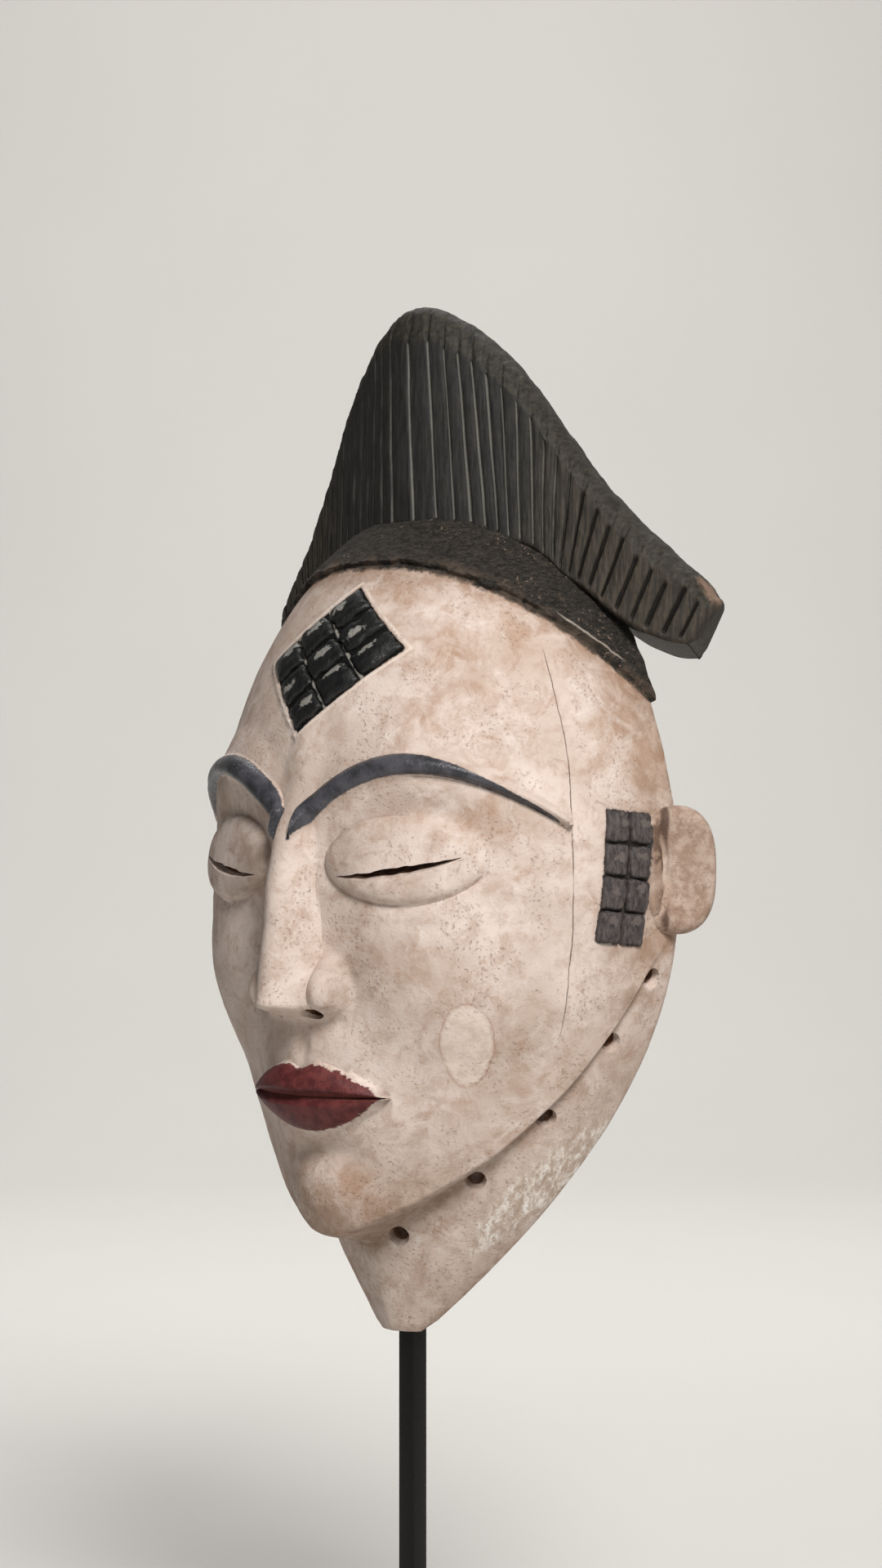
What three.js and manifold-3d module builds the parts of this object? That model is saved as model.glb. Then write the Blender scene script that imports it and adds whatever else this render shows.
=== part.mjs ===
// A carved wooden face mask with a high grooved crest, hollow at the back,
// on a square steel rod with a flat foot. Millimetres, +Z up, the face looks along -Y,
// the origin is the middle of the foot's underside.
import * as THREE from 'three';
import { mergeVertices } from 'three/addons/utils/BufferGeometryUtils.js';
import Module from 'manifold-3d';

const wasm = await Module();
wasm.setup();

// Stand
const FOOT_WIDTH = 120;
const FOOT_THICKNESS = 12;
const ROD_SIDE = 6;
const TIP_HEIGHT = 120; // the mask's tip above the floor
const CROSSBAR_LEVEL = 200; // top of the crossbar inside the crown, above the tip
const CLEARANCE = 0.3;

// Head: an egg-shaped bowl, open at the back. Levels are heights above the mask's tip.
const HEAD_HALF_WIDTH = 79;
const HEAD_DEPTH = 77;
const WIDEST_LEVEL = 130;
const DOME_HEIGHT = 115; // from the widest level to the crown
const DOME_SIDE_POWER = 1.8;
const TAPER_LENGTH = 138.5; // from the widest level to where the sides would meet
const TAPER_POWER = 1.92;
const KEEL_RETREAT = 41; // how far the collar's keel lies behind the face's front
const KEEL_POWER = 1.25;
const TIP_FORWARD = 31; // how far the back edge curves forward at the tip
const BACK_CURVE_LEVEL = 110; // above this level the back edge is flat
const BACK_CURVE_POWER = 1.76;
const KEEL_SHARPNESS = 0.5; // taken from the section's power at the tip
const WALL = 9;
const CROWN_WALL = 17;
const TIP_WALL = 12; // shortens the hollow's taper at the tip
const TIP_BLOCK = 6.6; // solid wood above the tip, below the hollow

// Jaw: how far the face stands proud of the collar, and how the level of its lower edge
// rises with the angle from the middle, as a share of its level at the back edge
const JAW_PROUD = 15;
const JAW_PROUD_AT_SIDE = 0.3; // share of the front's
const JAW_FADE_LEVEL = 120;
const JAW_STEP = 3.5;
const JAW_BACK_LEVEL = 118;
const JAW_RISE = [[0, 0.229], [22, 0.28], [53, 0.424], [67, 0.572], [77, 0.763], [83, 0.907], [90, 1]];
const jawShare = curveThrough(JAW_RISE);
const jawEdge = (angle) => JAW_BACK_LEVEL * jawShare(angle);

// Face levels: equal thirds from the chin to the hairline
const CHIN_LEVEL = jawEdge(0);
const HAIRLINE_LEVEL = 223.5;
const THIRD = (HAIRLINE_LEVEL - CHIN_LEVEL) / 3;
const NOSE_LEVEL = CHIN_LEVEL + THIRD;
const BROW_LEVEL = NOSE_LEVEL + THIRD;
const EYE_LEVEL = 138;
const MOUTH_LEVEL = 71;
const EYE_SPREAD = 33;
const EYE_HALF_LENGTH = 22;
const EYE_HALF_HEIGHT = 12.5;
const EYE_POINTING = 1.8; // two is an ellipse, less is pointed
const LID_RISE = 6.5;
const LID_ROUNDING = 0.55;
const SLIT_LENGTH = 34;
const SLIT_HEIGHT = 2.4;
const SLIT_DROP = 3; // below the eye's middle
const SLIT_TILT = 20; // rises inward, for looking down
const NOSE_RISE = 19;
const NOSE_HALF_WIDTH = 16;
const NOSE_ROOT_LEVEL = 151;
const NOSE_ROOT_RISE = 5;
const NOSE_RIDGE_HALF = 9.5; // half width of its ridge at the tip
const NOSE_ROOT_HALF = 7;
const NOSE_UNDERSIDE = 6; // height of the slope below its tip
const NOSTRIL_DIAMETER = 5.5;
const NOSTRIL_SPREAD = 7.5;
const NOSTRIL_START = 22; // in front of the bowl
const NOSTRIL_LENGTH = 46;
const MOUTH_HALF_WIDTH = 25;
const UPPER_LIP = 9.5;
const LOWER_LIP = 10.5;
const LIP_RISE = 5.5;
const LIP_EDGE = 0.45; // its rise at the parting, as a share
const LIP_BOW = 1.6; // dip in the middle of the upper lip
const BROW_RISE = 3;
const BROW_START = 3;
const BROW_DROP = 10; // its ends below the brow's level
const BROW_ARCH = 17;
const BROW_REACH = 68;
const BROW_HALF_HEIGHT = 4.2;
const BROW_INNER = 1.15; // its height at both ends, as shares
const BROW_OUTER = 0.35;

// Soft mounds and hollows of the face: rise, middle, half width and half height
const SOCKET = { rise: -4.5, x: EYE_SPREAD, level: EYE_LEVEL + 2, wide: 29, high: 20 };
const NOSE_WING = { rise: 10, x: NOSE_HALF_WIDTH - 5.5, level: NOSE_LEVEL + 8, wide: 8, high: 13 };
const MUZZLE = { rise: 3, x: 0, level: MOUTH_LEVEL + 4, wide: 34, high: 26 };
const LIP_GROOVE = { rise: -1.3, x: 0, level: MOUTH_LEVEL + 15, wide: 4, high: 8 };
const LIP_FOLD = { rise: -2.5, x: 0, level: MOUTH_LEVEL - 16, wide: 18, high: 7 };
const CHIN = { rise: 4.5, x: 0, level: CHIN_LEVEL + 14, wide: 20, high: 16 };
const CHEEK = { rise: 4, x: 44, level: NOSE_LEVEL + 12, wide: 30, high: 30 };
const BROW_BONE = { rise: 2.5, x: 34, wide: 44, high: 14 }; // follows the brow
const FOREHEAD_RIDGE = { rise: 1.4, x: 0, level: BROW_LEVEL + 4, wide: 9, high: 22 };

// Hair: a thin raised cap above the hairline, and the crest over it
const HAIR_THICKNESS = 2.5;
const HAIRLINE_DROP = 40; // from the middle to the back edge
const HAIRLINE_POWER = 2.6;
const CREST_THICKNESS = 25;
const CREST_TOP_THICKNESS = 22;
const CREST_REACH = 82.5;
const CREST_LEVEL = 300; // its top, above the tip
const CREST_ROOT_LEVEL = 230; // its underside in the middle, inside the head
const CREST_UNDER_RISE = 4; // the underside's front edge above its back edge
const CREST_MIDDLE_DEPTH = 20; // the crest's middle in front of the back edge
const CREST_SWEEP = 0.42;
const CREST_SWEEP_ROUNDING = 4;
// How both fall away from the middle: shares of the reach, with shares of their middle level
const SPINE_FALL = [[0, 1], [0.134, 0.985], [0.315, 0.94], [0.63, 0.818], [0.8, 0.767], [1, 0.715]];
const ROOT_FALL = [[0, 1], [0.364, 0.978], [0.606, 0.905], [0.719, 0.872], [0.89, 0.844], [1, 0.829]];
const spineShare = curveThrough(SPINE_FALL);
const rootShare = curveThrough(ROOT_FALL);
// How far a groove runs to +X per millimetre down, by its place as a share of the reach
const GROOVE_LEAN = [[-1, 0.38], [-0.78, 0.29], [-0.58, 0.1], [-0.39, 0.03], [-0.19, 0.04], [0, 0.06],
  [0.19, 0.085], [0.35, 0.05], [0.46, 0], [0.58, -0.11], [0.68, -0.24], [0.78, -0.29], [1, -0.38]];
const grooveLean = curveThrough(GROOVE_LEAN);
const CREST_BAND = 11;
const CREST_BAND_AT_END = 4;
const CREST_END_SLANT = -0.06; // turns the ends a little to the back
const CREST_END_ROUNDING = 3;
const CREST_GROOVES = 20; // on each side of the middle one
const GROOVE_PITCH = 4.05;
const GROOVE_WIDTH = 1.5;
const GROOVE_DEPTH = 1.3;

// Ears, raised squares and the row of holes under the jaw
const EAR_HEIGHT = 37;
const EAR_WIDTH = 24;
const EAR_THICKNESS = 7;
const EAR_LEVEL = 135;
const EAR_AZIMUTH = 52; // the way its flat side faces, from the front
const EAR_OUT = 79.6;
const EAR_BACK = 3.5; // its middle in front of the back edge
const EAR_ROLL_IN = 7.2; // the rolled edge's place inward of the ear's middle
const EAR_ROLL_RISE = 2;
const PAD_RISE = 1.7;
const PAD_GAP = 1.3;
const FOREHEAD_PATCH = { x: -1, level: 195, columns: 3, rows: 3, width: 36, height: 31, turn: 42 };
const TEMPLE_PATCH = { angle: 74.5, level: 133, columns: 2, rows: 4, width: 16, height: 38, turn: -6 };
const TIE_HOLE_DIAMETER = 5;
const TIE_HOLE_DROP = 3.8; // below the jaw's edge
const TIE_HOLE_TILT = 30; // rises inward
const TIE_HOLE_ANGLES = [22, 53, 67.5, 77, 83.5];

// The smooth curve through a few points, as a function of their first value
function curveThrough(points) {
  const secants = points.slice(1).map(([x, y], i) => (y - points[i][1]) / (x - points[i][0]));
  const slopes = points.map((point, i) => {
    if (i === 0) return 0;
    if (i === points.length - 1) return secants[i - 1];
    const before = secants[i - 1];
    const after = secants[i];
    return before * after > 0 ? (2 * before * after) / (before + after) : 0;
  });
  return (x) => {
    let i = 0;
    while (i < points.length - 2 && x > points[i + 1][0]) i += 1;
    const width = points[i + 1][0] - points[i][0];
    const t = (x - points[i][0]) / width;
    if (t > 1) return points[i + 1][1] + slopes[i + 1] * (x - points[i + 1][0]);
    const bow = t * t * (3 - 2 * t);
    const enter = t * (1 - t) * (1 - t) * width * slopes[i];
    const leave = t * t * (t - 1) * width * slopes[i + 1];
    return points[i][1] * (1 - bow) + points[i + 1][1] * bow + enter + leave;
  };
}

const radians = (degrees) => (degrees * Math.PI) / 180;
const clamp01 = (value) => Math.min(1, Math.max(0, value));
const mix = (a, b, t) => a + (b - a) * t;
const rampUp = (from, to, value) => {
  const t = clamp01((value - from) / (to - from));
  return t * t * (3 - 2 * t);
};
// A soft round hill of height one, zero outside its radii
const hill = (across, up) => Math.max(0, 1 - across * across - up * up) ** 2;
const mound = (form, x, level) => (
  form.rise * hill((x - form.x) / form.wide, (level - form.level) / form.high)
);

// The back edge's place in depth at a level
function backEdge(level) {
  return -TIP_FORWARD * clamp01(1 - level / BACK_CURVE_LEVEL) ** BACK_CURVE_POWER;
}

// Half width and depth of the head's section at a level, outside or on the hollow's wall
function section(level, hollow = false) {
  const half = HEAD_HALF_WIDTH - (hollow ? WALL : 0);
  const depth = HEAD_DEPTH - (hollow ? WALL : 0);
  const dome = DOME_HEIGHT - (hollow ? CROWN_WALL : 0);
  const taper = TAPER_LENGTH - (hollow ? TIP_WALL : 0);
  if (level >= WIDEST_LEVEL) {
    const up = Math.min(1, (level - WIDEST_LEVEL) / dome);
    const side = half * Math.sqrt(1 - up ** DOME_SIDE_POWER);
    return { side, front: depth * Math.sqrt(1 - up * up), power: 2 };
  }
  const down = WIDEST_LEVEL - level;
  const keel = KEEL_RETREAT * (down / WIDEST_LEVEL) ** KEEL_POWER;
  return {
    side: half * (1 - (down / taper) ** TAPER_POWER),
    front: Math.max(0, depth + backEdge(level) - keel),
    power: 2 - KEEL_SHARPNESS * (down / WIDEST_LEVEL),
  };
}

function sectionRadius(angle, { side, front, power }) {
  const across = Math.abs(Math.sin(radians(angle))) / side;
  const ahead = Math.cos(radians(angle)) / front;
  return (across ** power + ahead ** power) ** (-1 / power);
}

// Outlines of the eye, lips and brow by their distance from the middle
function lidHalfHeight(x) {
  const out = Math.abs((x - EYE_SPREAD) / EYE_HALF_LENGTH);
  return EYE_HALF_HEIGHT * Math.sqrt(Math.max(0, 1 - out ** EYE_POINTING));
}

function lipHeights(x) {
  const reach = clamp01(x / MOUTH_HALF_WIDTH);
  const bow = LIP_BOW * hill(x / 5, 0);
  return { upper: UPPER_LIP * (1 - reach ** 2.2) - bow, lower: LOWER_LIP * (1 - reach * reach) };
}

function browPlace(x) {
  const reach = clamp01((x - BROW_START) / (BROW_REACH - BROW_START));
  return {
    middle: BROW_LEVEL - BROW_DROP + BROW_ARCH * Math.sin(Math.PI * reach) ** 0.8,
    half: BROW_HALF_HEIGHT * mix(BROW_INNER, BROW_OUTER, reach),
  };
}

// Relief of the face at a place seen from the front, in millimetres out of the surface
function eyeRelief(x, level) {
  const out = Math.abs((x - EYE_SPREAD) / EYE_HALF_LENGTH);
  const dome = 1 - out ** EYE_POINTING - ((level - EYE_LEVEL) / EYE_HALF_HEIGHT) ** 2;
  return mound(SOCKET, x, level) + LID_RISE * Math.max(0, dome) ** LID_ROUNDING;
}

function noseRelief(x, level) {
  const along = clamp01((level - NOSE_LEVEL) / (NOSE_ROOT_LEVEL - NOSE_LEVEL));
  const width = mix(NOSE_RIDGE_HALF, NOSE_ROOT_HALF, along);
  const underside = rampUp(NOSE_LEVEL - 1, NOSE_LEVEL - 1 + NOSE_UNDERSIDE, level);
  const top = 1 - rampUp(NOSE_ROOT_LEVEL - 8, NOSE_ROOT_LEVEL + 10, level);
  const rise = mix(NOSE_RISE, NOSE_ROOT_RISE, along ** 0.9);
  const ridge = rise * Math.max(0, 1 - (x / width) ** 2) ** 0.9;
  const wing = mound(NOSE_WING, x, level);
  return underside * top * Math.max(ridge, wing, 0.7 * (ridge + wing));
}

function mouthRelief(x, level) {
  const reach = clamp01(x / MOUTH_HALF_WIDTH);
  const { upper, lower } = lipHeights(x);
  const away = level - MOUTH_LEVEL;
  const part = away > 0 ? away / Math.max(upper, 0.1) : -away / Math.max(lower, 0.1);
  const around = mound(MUZZLE, x, level) + mound(LIP_GROOVE, x, level) + mound(LIP_FOLD, x, level);
  if (x >= MOUTH_HALF_WIDTH || part >= 1) return around;
  const swell = Math.sqrt(1 - part * part) * mix(LIP_EDGE, 1, clamp01(part / 0.25));
  return mound(MUZZLE, x, level) + LIP_RISE * swell * (1 - 0.5 * reach ** 4);
}

function browRelief(x, level) {
  const { middle, half } = browPlace(x);
  const away = level - middle;
  const bone = mound({ ...BROW_BONE, level: middle }, x, level);
  if (x < BROW_START || x > BROW_REACH) return bone;
  return bone + BROW_RISE * Math.sqrt(Math.max(0, 1 - (away / half) ** 2));
}

function faceRelief(x, level) {
  const mounds = mound(CHIN, x, level) + mound(CHEEK, x, level) + mound(FOREHEAD_RIDGE, x, level);
  return eyeRelief(x, level) + noseRelief(x, level) + mouthRelief(x, level)
    + browRelief(x, level) + mounds;
}

const BROW_FRONT_MIDDLE = BROW_LEVEL + 2;
const BROW_FRONT_LOW = BROW_FRONT_MIDDLE - BROW_HALF_HEIGHT;
const BROW_FRONT_HIGH = BROW_FRONT_MIDDLE + BROW_HALF_HEIGHT;

const hairline = (angle) => HAIRLINE_LEVEL - HAIRLINE_DROP * (angle / 90) ** HAIRLINE_POWER;

// A point of the head's carved surface, from its angle off the middle and its level
function headPoint(angle, level) {
  const turn = Math.abs(angle);
  const base = sectionRadius(turn, section(level));
  const edge = jawEdge(turn);
  const share = mix(JAW_PROUD_AT_SIDE, 1, Math.cos(radians(turn)) ** 2);
  const fade = clamp01((JAW_FADE_LEVEL - level) / (JAW_FADE_LEVEL - CHIN_LEVEL));
  const face = rampUp(edge - 0.5, edge + JAW_STEP, level);
  const hair = HAIR_THICKNESS * rampUp(hairline(turn) - 0.6, hairline(turn) + 0.6, level);
  const proud = base + face * JAW_PROUD * share * fade;
  const relief = face * faceRelief(proud * Math.sin(radians(turn)), level);
  const radius = proud + relief * rampUp(90, 80, turn) + hair;
  return new THREE.Vector3(
    Math.sign(angle) * radius * Math.sin(radians(turn)),
    backEdge(level) - radius * Math.cos(radians(turn)),
    level,
  );
}

// Rows of the surface follow the jaw's edge, the lips, the lids, the brow and the hairline.
// Each knot is a row's level in the middle of the face, with its level at this angle.
function rowLevel(front, angle) {
  const turn = Math.abs(angle);
  const x = HEAD_HALF_WIDTH * Math.sin(radians(turn));
  const settled = EYE_LEVEL - EYE_HALF_HEIGHT;
  const jaw = jawEdge(turn);
  const { upper, lower } = lipHeights(x);
  const brow = browPlace(x);
  const lid = Math.max(2.5, lidHalfHeight(x));
  const squeezed = (level) => mix(jaw, settled, (level - CHIN_LEVEL) / (settled - CHIN_LEVEL));
  const aside = rampUp(22, 50, turn);
  const low = (level, here) => [level, mix(here, squeezed(level), aside)];
  const knots = [
    [0, 0],
    [CHIN_LEVEL, jaw],
    [CHIN_LEVEL + JAW_STEP, jaw + JAW_STEP * mix(1, 0.2, turn / 90)],
    low(MOUTH_LEVEL - LOWER_LIP, MOUTH_LEVEL - Math.max(2, lower)),
    low(MOUTH_LEVEL, MOUTH_LEVEL),
    low(MOUTH_LEVEL + UPPER_LIP, MOUTH_LEVEL + Math.max(2, upper)),
    low(NOSE_LEVEL - 1, NOSE_LEVEL - 1),
    low(NOSE_LEVEL + 5, NOSE_LEVEL + 5),
    [settled, EYE_LEVEL - lid],
    [EYE_LEVEL - SLIT_DROP, EYE_LEVEL - Math.min(SLIT_DROP, lid * 0.5)],
    [EYE_LEVEL + EYE_HALF_HEIGHT, EYE_LEVEL + lid],
    [BROW_FRONT_LOW, Math.max(brow.middle - brow.half, EYE_LEVEL + lid + 1)],
    [BROW_FRONT_MIDDLE, brow.middle + 0.2 * brow.half],
    [BROW_FRONT_HIGH, brow.middle + brow.half + 0.5],
    [HAIRLINE_LEVEL, hairline(turn)],
    [WIDEST_LEVEL + DOME_HEIGHT, WIDEST_LEVEL + DOME_HEIGHT],
  ];
  const i = Math.max(1, knots.findIndex(([level]) => front <= level));
  const [from, fromHere] = knots[i - 1];
  const [to, toHere] = knots[i];
  return mix(fromHere, toHere, (front - from) / (to - from));
}

function spread(zones) {
  const levels = [zones[0][0]];
  for (const [from, to, count] of zones) {
    for (let i = 1; i <= count; i += 1) levels.push(mix(from, to, i / count));
  }
  return levels;
}

// Solids from rings of points that run the same way round
function loftSolid(rings) {
  const positions = [];
  const size = rings[0].length;
  for (const ring of rings) for (const p of ring) positions.push(p.x, p.y, p.z);
  const faces = [];
  for (let i = 0; i + 1 < rings.length; i += 1) {
    for (let j = 0; j < size; j += 1) {
      const a = i * size + j;
      const b = i * size + ((j + 1) % size);
      faces.push(a, b, b + size, a, b + size, a + size);
    }
  }
  for (const [ring, start] of [[rings[0], 0], [rings.at(-1), (rings.length - 1) * size]]) {
    const middle = new THREE.Vector3();
    for (const p of ring) middle.add(p);
    middle.divideScalar(size);
    const hub = positions.length / 3;
    positions.push(middle.x, middle.y, middle.z);
    for (let j = 0; j < size; j += 1) {
      const next = (j + 1) % size;
      if (start === 0) faces.push(hub, start + next, start + j);
      else faces.push(hub, start + j, start + next);
    }
  }
  const geometry = new THREE.BufferGeometry();
  geometry.setAttribute('position', new THREE.Float32BufferAttribute(positions, 3));
  geometry.setIndex(faces);
  return toSolid(geometry);
}

function signedVolume(position, index) {
  const [a, b, c] = [new THREE.Vector3(), new THREE.Vector3(), new THREE.Vector3()];
  let volume = 0;
  for (let i = 0; i < index.length; i += 3) {
    a.fromBufferAttribute(position, index[i]);
    b.fromBufferAttribute(position, index[i + 1]);
    c.fromBufferAttribute(position, index[i + 2]);
    volume += a.dot(b.cross(c));
  }
  return volume;
}

function toSolid(geometry, matrix = new THREE.Matrix4()) {
  const bare = geometry.clone().applyMatrix4(matrix);
  bare.deleteAttribute('normal');
  bare.deleteAttribute('uv');
  const merged = mergeVertices(bare, 1e-4);
  const triVerts = new Uint32Array(merged.index.array);
  if (signedVolume(merged.attributes.position, triVerts) < 0) {
    for (let i = 0; i < triVerts.length; i += 3) triVerts.subarray(i, i + 2).reverse();
  }
  const vertProperties = new Float32Array(merged.attributes.position.array);
  return new wasm.Manifold(new wasm.Mesh({ numProp: 3, vertProperties, triVerts }));
}

function toGeometry(solid) {
  const { vertProperties, triVerts } = solid.getMesh();
  const geometry = new THREE.BufferGeometry();
  geometry.setAttribute('position', new THREE.Float32BufferAttribute(vertProperties, 3));
  geometry.setIndex(new THREE.Uint32BufferAttribute(triVerts, 1));
  geometry.computeVertexNormals();
  return geometry;
}

// A turned and placed frame: its x, y and z axes and its origin
function placed(xAxis, yAxis, zAxis, origin) {
  return new THREE.Matrix4().makeBasis(xAxis, yAxis, zAxis).setPosition(origin);
}

function headSolid() {
  const levels = spread([
    [0, CHIN_LEVEL, 5],
    [CHIN_LEVEL, CHIN_LEVEL + JAW_STEP, 2],
    [CHIN_LEVEL + JAW_STEP, MOUTH_LEVEL - LOWER_LIP, 4],
    [MOUTH_LEVEL - LOWER_LIP, MOUTH_LEVEL, 4],
    [MOUTH_LEVEL, MOUTH_LEVEL + UPPER_LIP, 4],
    [MOUTH_LEVEL + UPPER_LIP, NOSE_LEVEL - 1, 2],
    [NOSE_LEVEL - 1, NOSE_LEVEL + 5, 2],
    [NOSE_LEVEL + 5, EYE_LEVEL - EYE_HALF_HEIGHT, 4],
    [EYE_LEVEL - EYE_HALF_HEIGHT, EYE_LEVEL - SLIT_DROP, 3],
    [EYE_LEVEL - SLIT_DROP, EYE_LEVEL + EYE_HALF_HEIGHT, 4],
    [EYE_LEVEL + EYE_HALF_HEIGHT, BROW_FRONT_LOW, 1],
    [BROW_FRONT_LOW, BROW_FRONT_MIDDLE, 2],
    [BROW_FRONT_MIDDLE, BROW_FRONT_HIGH, 2],
    [BROW_FRONT_HIGH, HAIRLINE_LEVEL - 0.6, 5],
    [HAIRLINE_LEVEL - 0.6, HAIRLINE_LEVEL + 0.6, 1],
    [HAIRLINE_LEVEL + 0.6, WIDEST_LEVEL + DOME_HEIGHT - 1.5, 3],
  ]);
  const columns = 20;
  const rings = levels.map((front) => {
    const ring = [];
    for (let i = -columns; i <= columns; i += 1) {
      const t = Math.abs(i) / columns;
      const angle = Math.sign(i) * 90 * mix(t, t * t, 0.35);
      ring.push(headPoint(angle, rowLevel(front, angle)));
    }
    return ring;
  });
  return loftSolid(rings);
}

// The hollow runs out through the open back
function hollowSolid() {
  const rows = 12;
  const columns = 14;
  const bottom = TIP_BLOCK;
  const top = WIDEST_LEVEL + DOME_HEIGHT - CROWN_WALL;
  const rings = [];
  for (let row = 0; row < rows; row += 1) {
    const level = mix(bottom, top, Math.sin((Math.PI / 2) * ((row + 0.4) / rows)));
    const inner = section(level, true);
    const ring = [];
    for (let i = 0; i <= columns; i += 1) {
      const angle = mix(-90, 90, i / columns);
      const radius = sectionRadius(Math.abs(angle), inner);
      const x = radius * Math.sin(radians(angle));
      ring.push(new THREE.Vector3(x, backEdge(level) - radius * Math.cos(radians(angle)), level));
    }
    ring.push(new THREE.Vector3(inner.side, HEAD_DEPTH, level));
    ring.push(new THREE.Vector3(-inner.side, HEAD_DEPTH, level));
    rings.push(ring);
  }
  return loftSolid(rings);
}

// One section of the crest at a share of its reach, -1 to 1, cut deeper in a groove
function crestRing(share, depth, shrink = 1, beyond = 0) {
  const s = Math.abs(share);
  const side = share < 0 ? -1 : 1;
  const topX = CREST_REACH * s;
  const spineZ = CREST_LEVEL * spineShare(s);
  const bottomX = topX + side * grooveLean(share) * (spineZ - CREST_ROOT_LEVEL * rootShare(s));
  const underZ = CREST_ROOT_LEVEL * rootShare(Math.abs(bottomX) / CREST_REACH);
  const band = mix(CREST_BAND, CREST_BAND_AT_END, s);
  const root = Math.hypot(topX, CREST_SWEEP_ROUNDING);
  const slope = (CREST_SWEEP * topX) / root;
  const planY = (x) => {
    const arm = Math.hypot(x, CREST_SWEEP_ROUNDING) - CREST_SWEEP_ROUNDING;
    return -CREST_MIDDLE_DEPTH + CREST_SWEEP * arm;
  };
  const along = new THREE.Vector3(side, slope, 0).normalize();
  const across = new THREE.Vector3(-along.y * side, Math.abs(along.x), 0);
  const half = CREST_THICKNESS / 2;
  const topHalf = CREST_TOP_THICKNESS / 2;
  const shape = [
    [topHalf - depth, spineZ - band],
    [topHalf * 0.68 - depth * 0.3, spineZ - band * 0.25],
  ];
  const outline = [
    [depth - half, underZ + CREST_UNDER_RISE],
    ...shape.map(([u, z]) => [-u, z]),
    [0, spineZ - depth * 0.3],
    ...shape.reverse(),
    [half - depth, underZ],
  ];
  const middleZ = (spineZ + underZ) / 2;
  return outline.map(([u, z]) => {
    const rise = clamp01((z - underZ) / (spineZ - underZ));
    const x = mix(bottomX, topX, rise);
    const point = new THREE.Vector3(side * x, planY(x), mix(middleZ, z, shrink));
    const past = beyond && beyond + CREST_END_SLANT * u * shrink;
    return point.addScaledVector(across, u * shrink).addScaledVector(along, past);
  });
}

function crestSolid() {
  const halfGroove = GROOVE_WIDTH / 2 / CREST_REACH;
  const rings = [];
  for (let k = -CREST_GROOVES; k <= CREST_GROOVES; k += 1) {
    const share = (GROOVE_PITCH * k) / CREST_REACH;
    rings.push(crestRing(share - halfGroove, 0));
    rings.push(crestRing(share, GROOVE_DEPTH));
    rings.push(crestRing(share + halfGroove, 0));
  }
  for (const side of [-1, 1]) {
    const end = [[1, 0.03], [0.88, 0.8], [0.6, 1]].map(([shrink, out]) => (
      crestRing(side, 0, shrink, out * CREST_END_ROUNDING)
    ));
    if (side < 0) rings.unshift(...end.reverse());
    else rings.push(...end);
  }
  return loftSolid(rings);
}

// A flat rounded ear with a rolled front edge, its face turned half forward
function earSolid(side) {
  const azimuth = radians(EAR_AZIMUTH);
  const normal = new THREE.Vector3(side * Math.sin(azimuth), -Math.cos(azimuth), 0);
  const up = new THREE.Vector3(0, 0, 1);
  const outward = new THREE.Vector3().crossVectors(up, normal).multiplyScalar(side);
  const middle = new THREE.Vector3(side * EAR_OUT, -EAR_BACK, EAR_LEVEL);
  const steps = 18;
  const bevels = [[0, 0.8], [0.12, 0.93], [0.4, 1], [0.8, 0.97], [1, 0.82]];
  const rings = bevels.map(([deep, size]) => {
    const ring = [];
    for (let i = 0; i < steps; i += 1) {
      const turn = (2 * Math.PI * i) / steps;
      const across = Math.sign(Math.cos(turn)) * Math.abs(Math.cos(turn)) ** 0.8;
      const height = Math.sign(Math.sin(turn)) * Math.abs(Math.sin(turn)) ** 0.75;
      const p = middle.clone();
      p.addScaledVector(outward, (across * size * EAR_WIDTH) / 2);
      p.addScaledVector(up, (height * size * EAR_HEIGHT) / 2);
      p.addScaledVector(normal, mix(-EAR_THICKNESS, EAR_THICKNESS / 2, deep));
      ring.push(p);
    }
    return ring;
  });
  const roll = new THREE.CapsuleGeometry(EAR_THICKNESS / 2, EAR_HEIGHT * 0.55, 2, 7);
  const place = middle.clone().addScaledVector(outward, -EAR_ROLL_IN);
  place.addScaledVector(normal, EAR_ROLL_RISE);
  return loftSolid(rings).add(toSolid(roll, placed(outward, up, normal, place)));
}

// The surface's point and its outward axis where a pad or a hole sits
function surfaceFrame(angle, level) {
  const step = 3;
  const origin = headPoint(angle, level);
  const across = headPoint(angle + step, level).sub(headPoint(angle - step, level)).normalize();
  const up = headPoint(angle, level + step).sub(headPoint(angle, level - step)).normalize();
  const out = new THREE.Vector3().crossVectors(up, across).negate().normalize();
  return { origin, across, up: new THREE.Vector3().crossVectors(out, across), out };
}

function angleAt(x, level) {
  return THREE.MathUtils.radToDeg(Math.asin(x / section(level).side));
}

// Raised squares in rows on the skin
function patchSolids({ x, angle, level, columns, rows, width, height, turn }, side = 1) {
  const depth = 2 * PAD_RISE + 2;
  const cell = [width / columns, height / rows];
  const pad = new THREE.BoxGeometry(cell[0] - PAD_GAP, cell[1] - PAD_GAP, depth);
  const pads = [];
  for (let column = 0; column < columns; column += 1) {
    for (let row = 0; row < rows; row += 1) {
      const u = (column - (columns - 1) / 2) * cell[0];
      const v = (row - (rows - 1) / 2) * cell[1];
      const along = u * Math.cos(radians(turn)) - v * Math.sin(radians(turn));
      const rise = u * Math.sin(radians(turn)) + v * Math.cos(radians(turn));
      const here = level + rise * surfaceFrame(angle || 0, level).up.z;
      const at = angle
        ? side * (angle + THREE.MathUtils.radToDeg(along / HEAD_HALF_WIDTH))
        : angleAt(x + along, here);
      const { origin, across, up, out } = surfaceFrame(at, here);
      const spin = new THREE.Matrix4().makeRotationZ(side * radians(turn));
      const sink = origin.clone().addScaledVector(out, PAD_RISE - depth / 2);
      pads.push(toSolid(pad, placed(across, up, out, sink).multiply(spin)));
    }
  }
  return pads;
}

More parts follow.
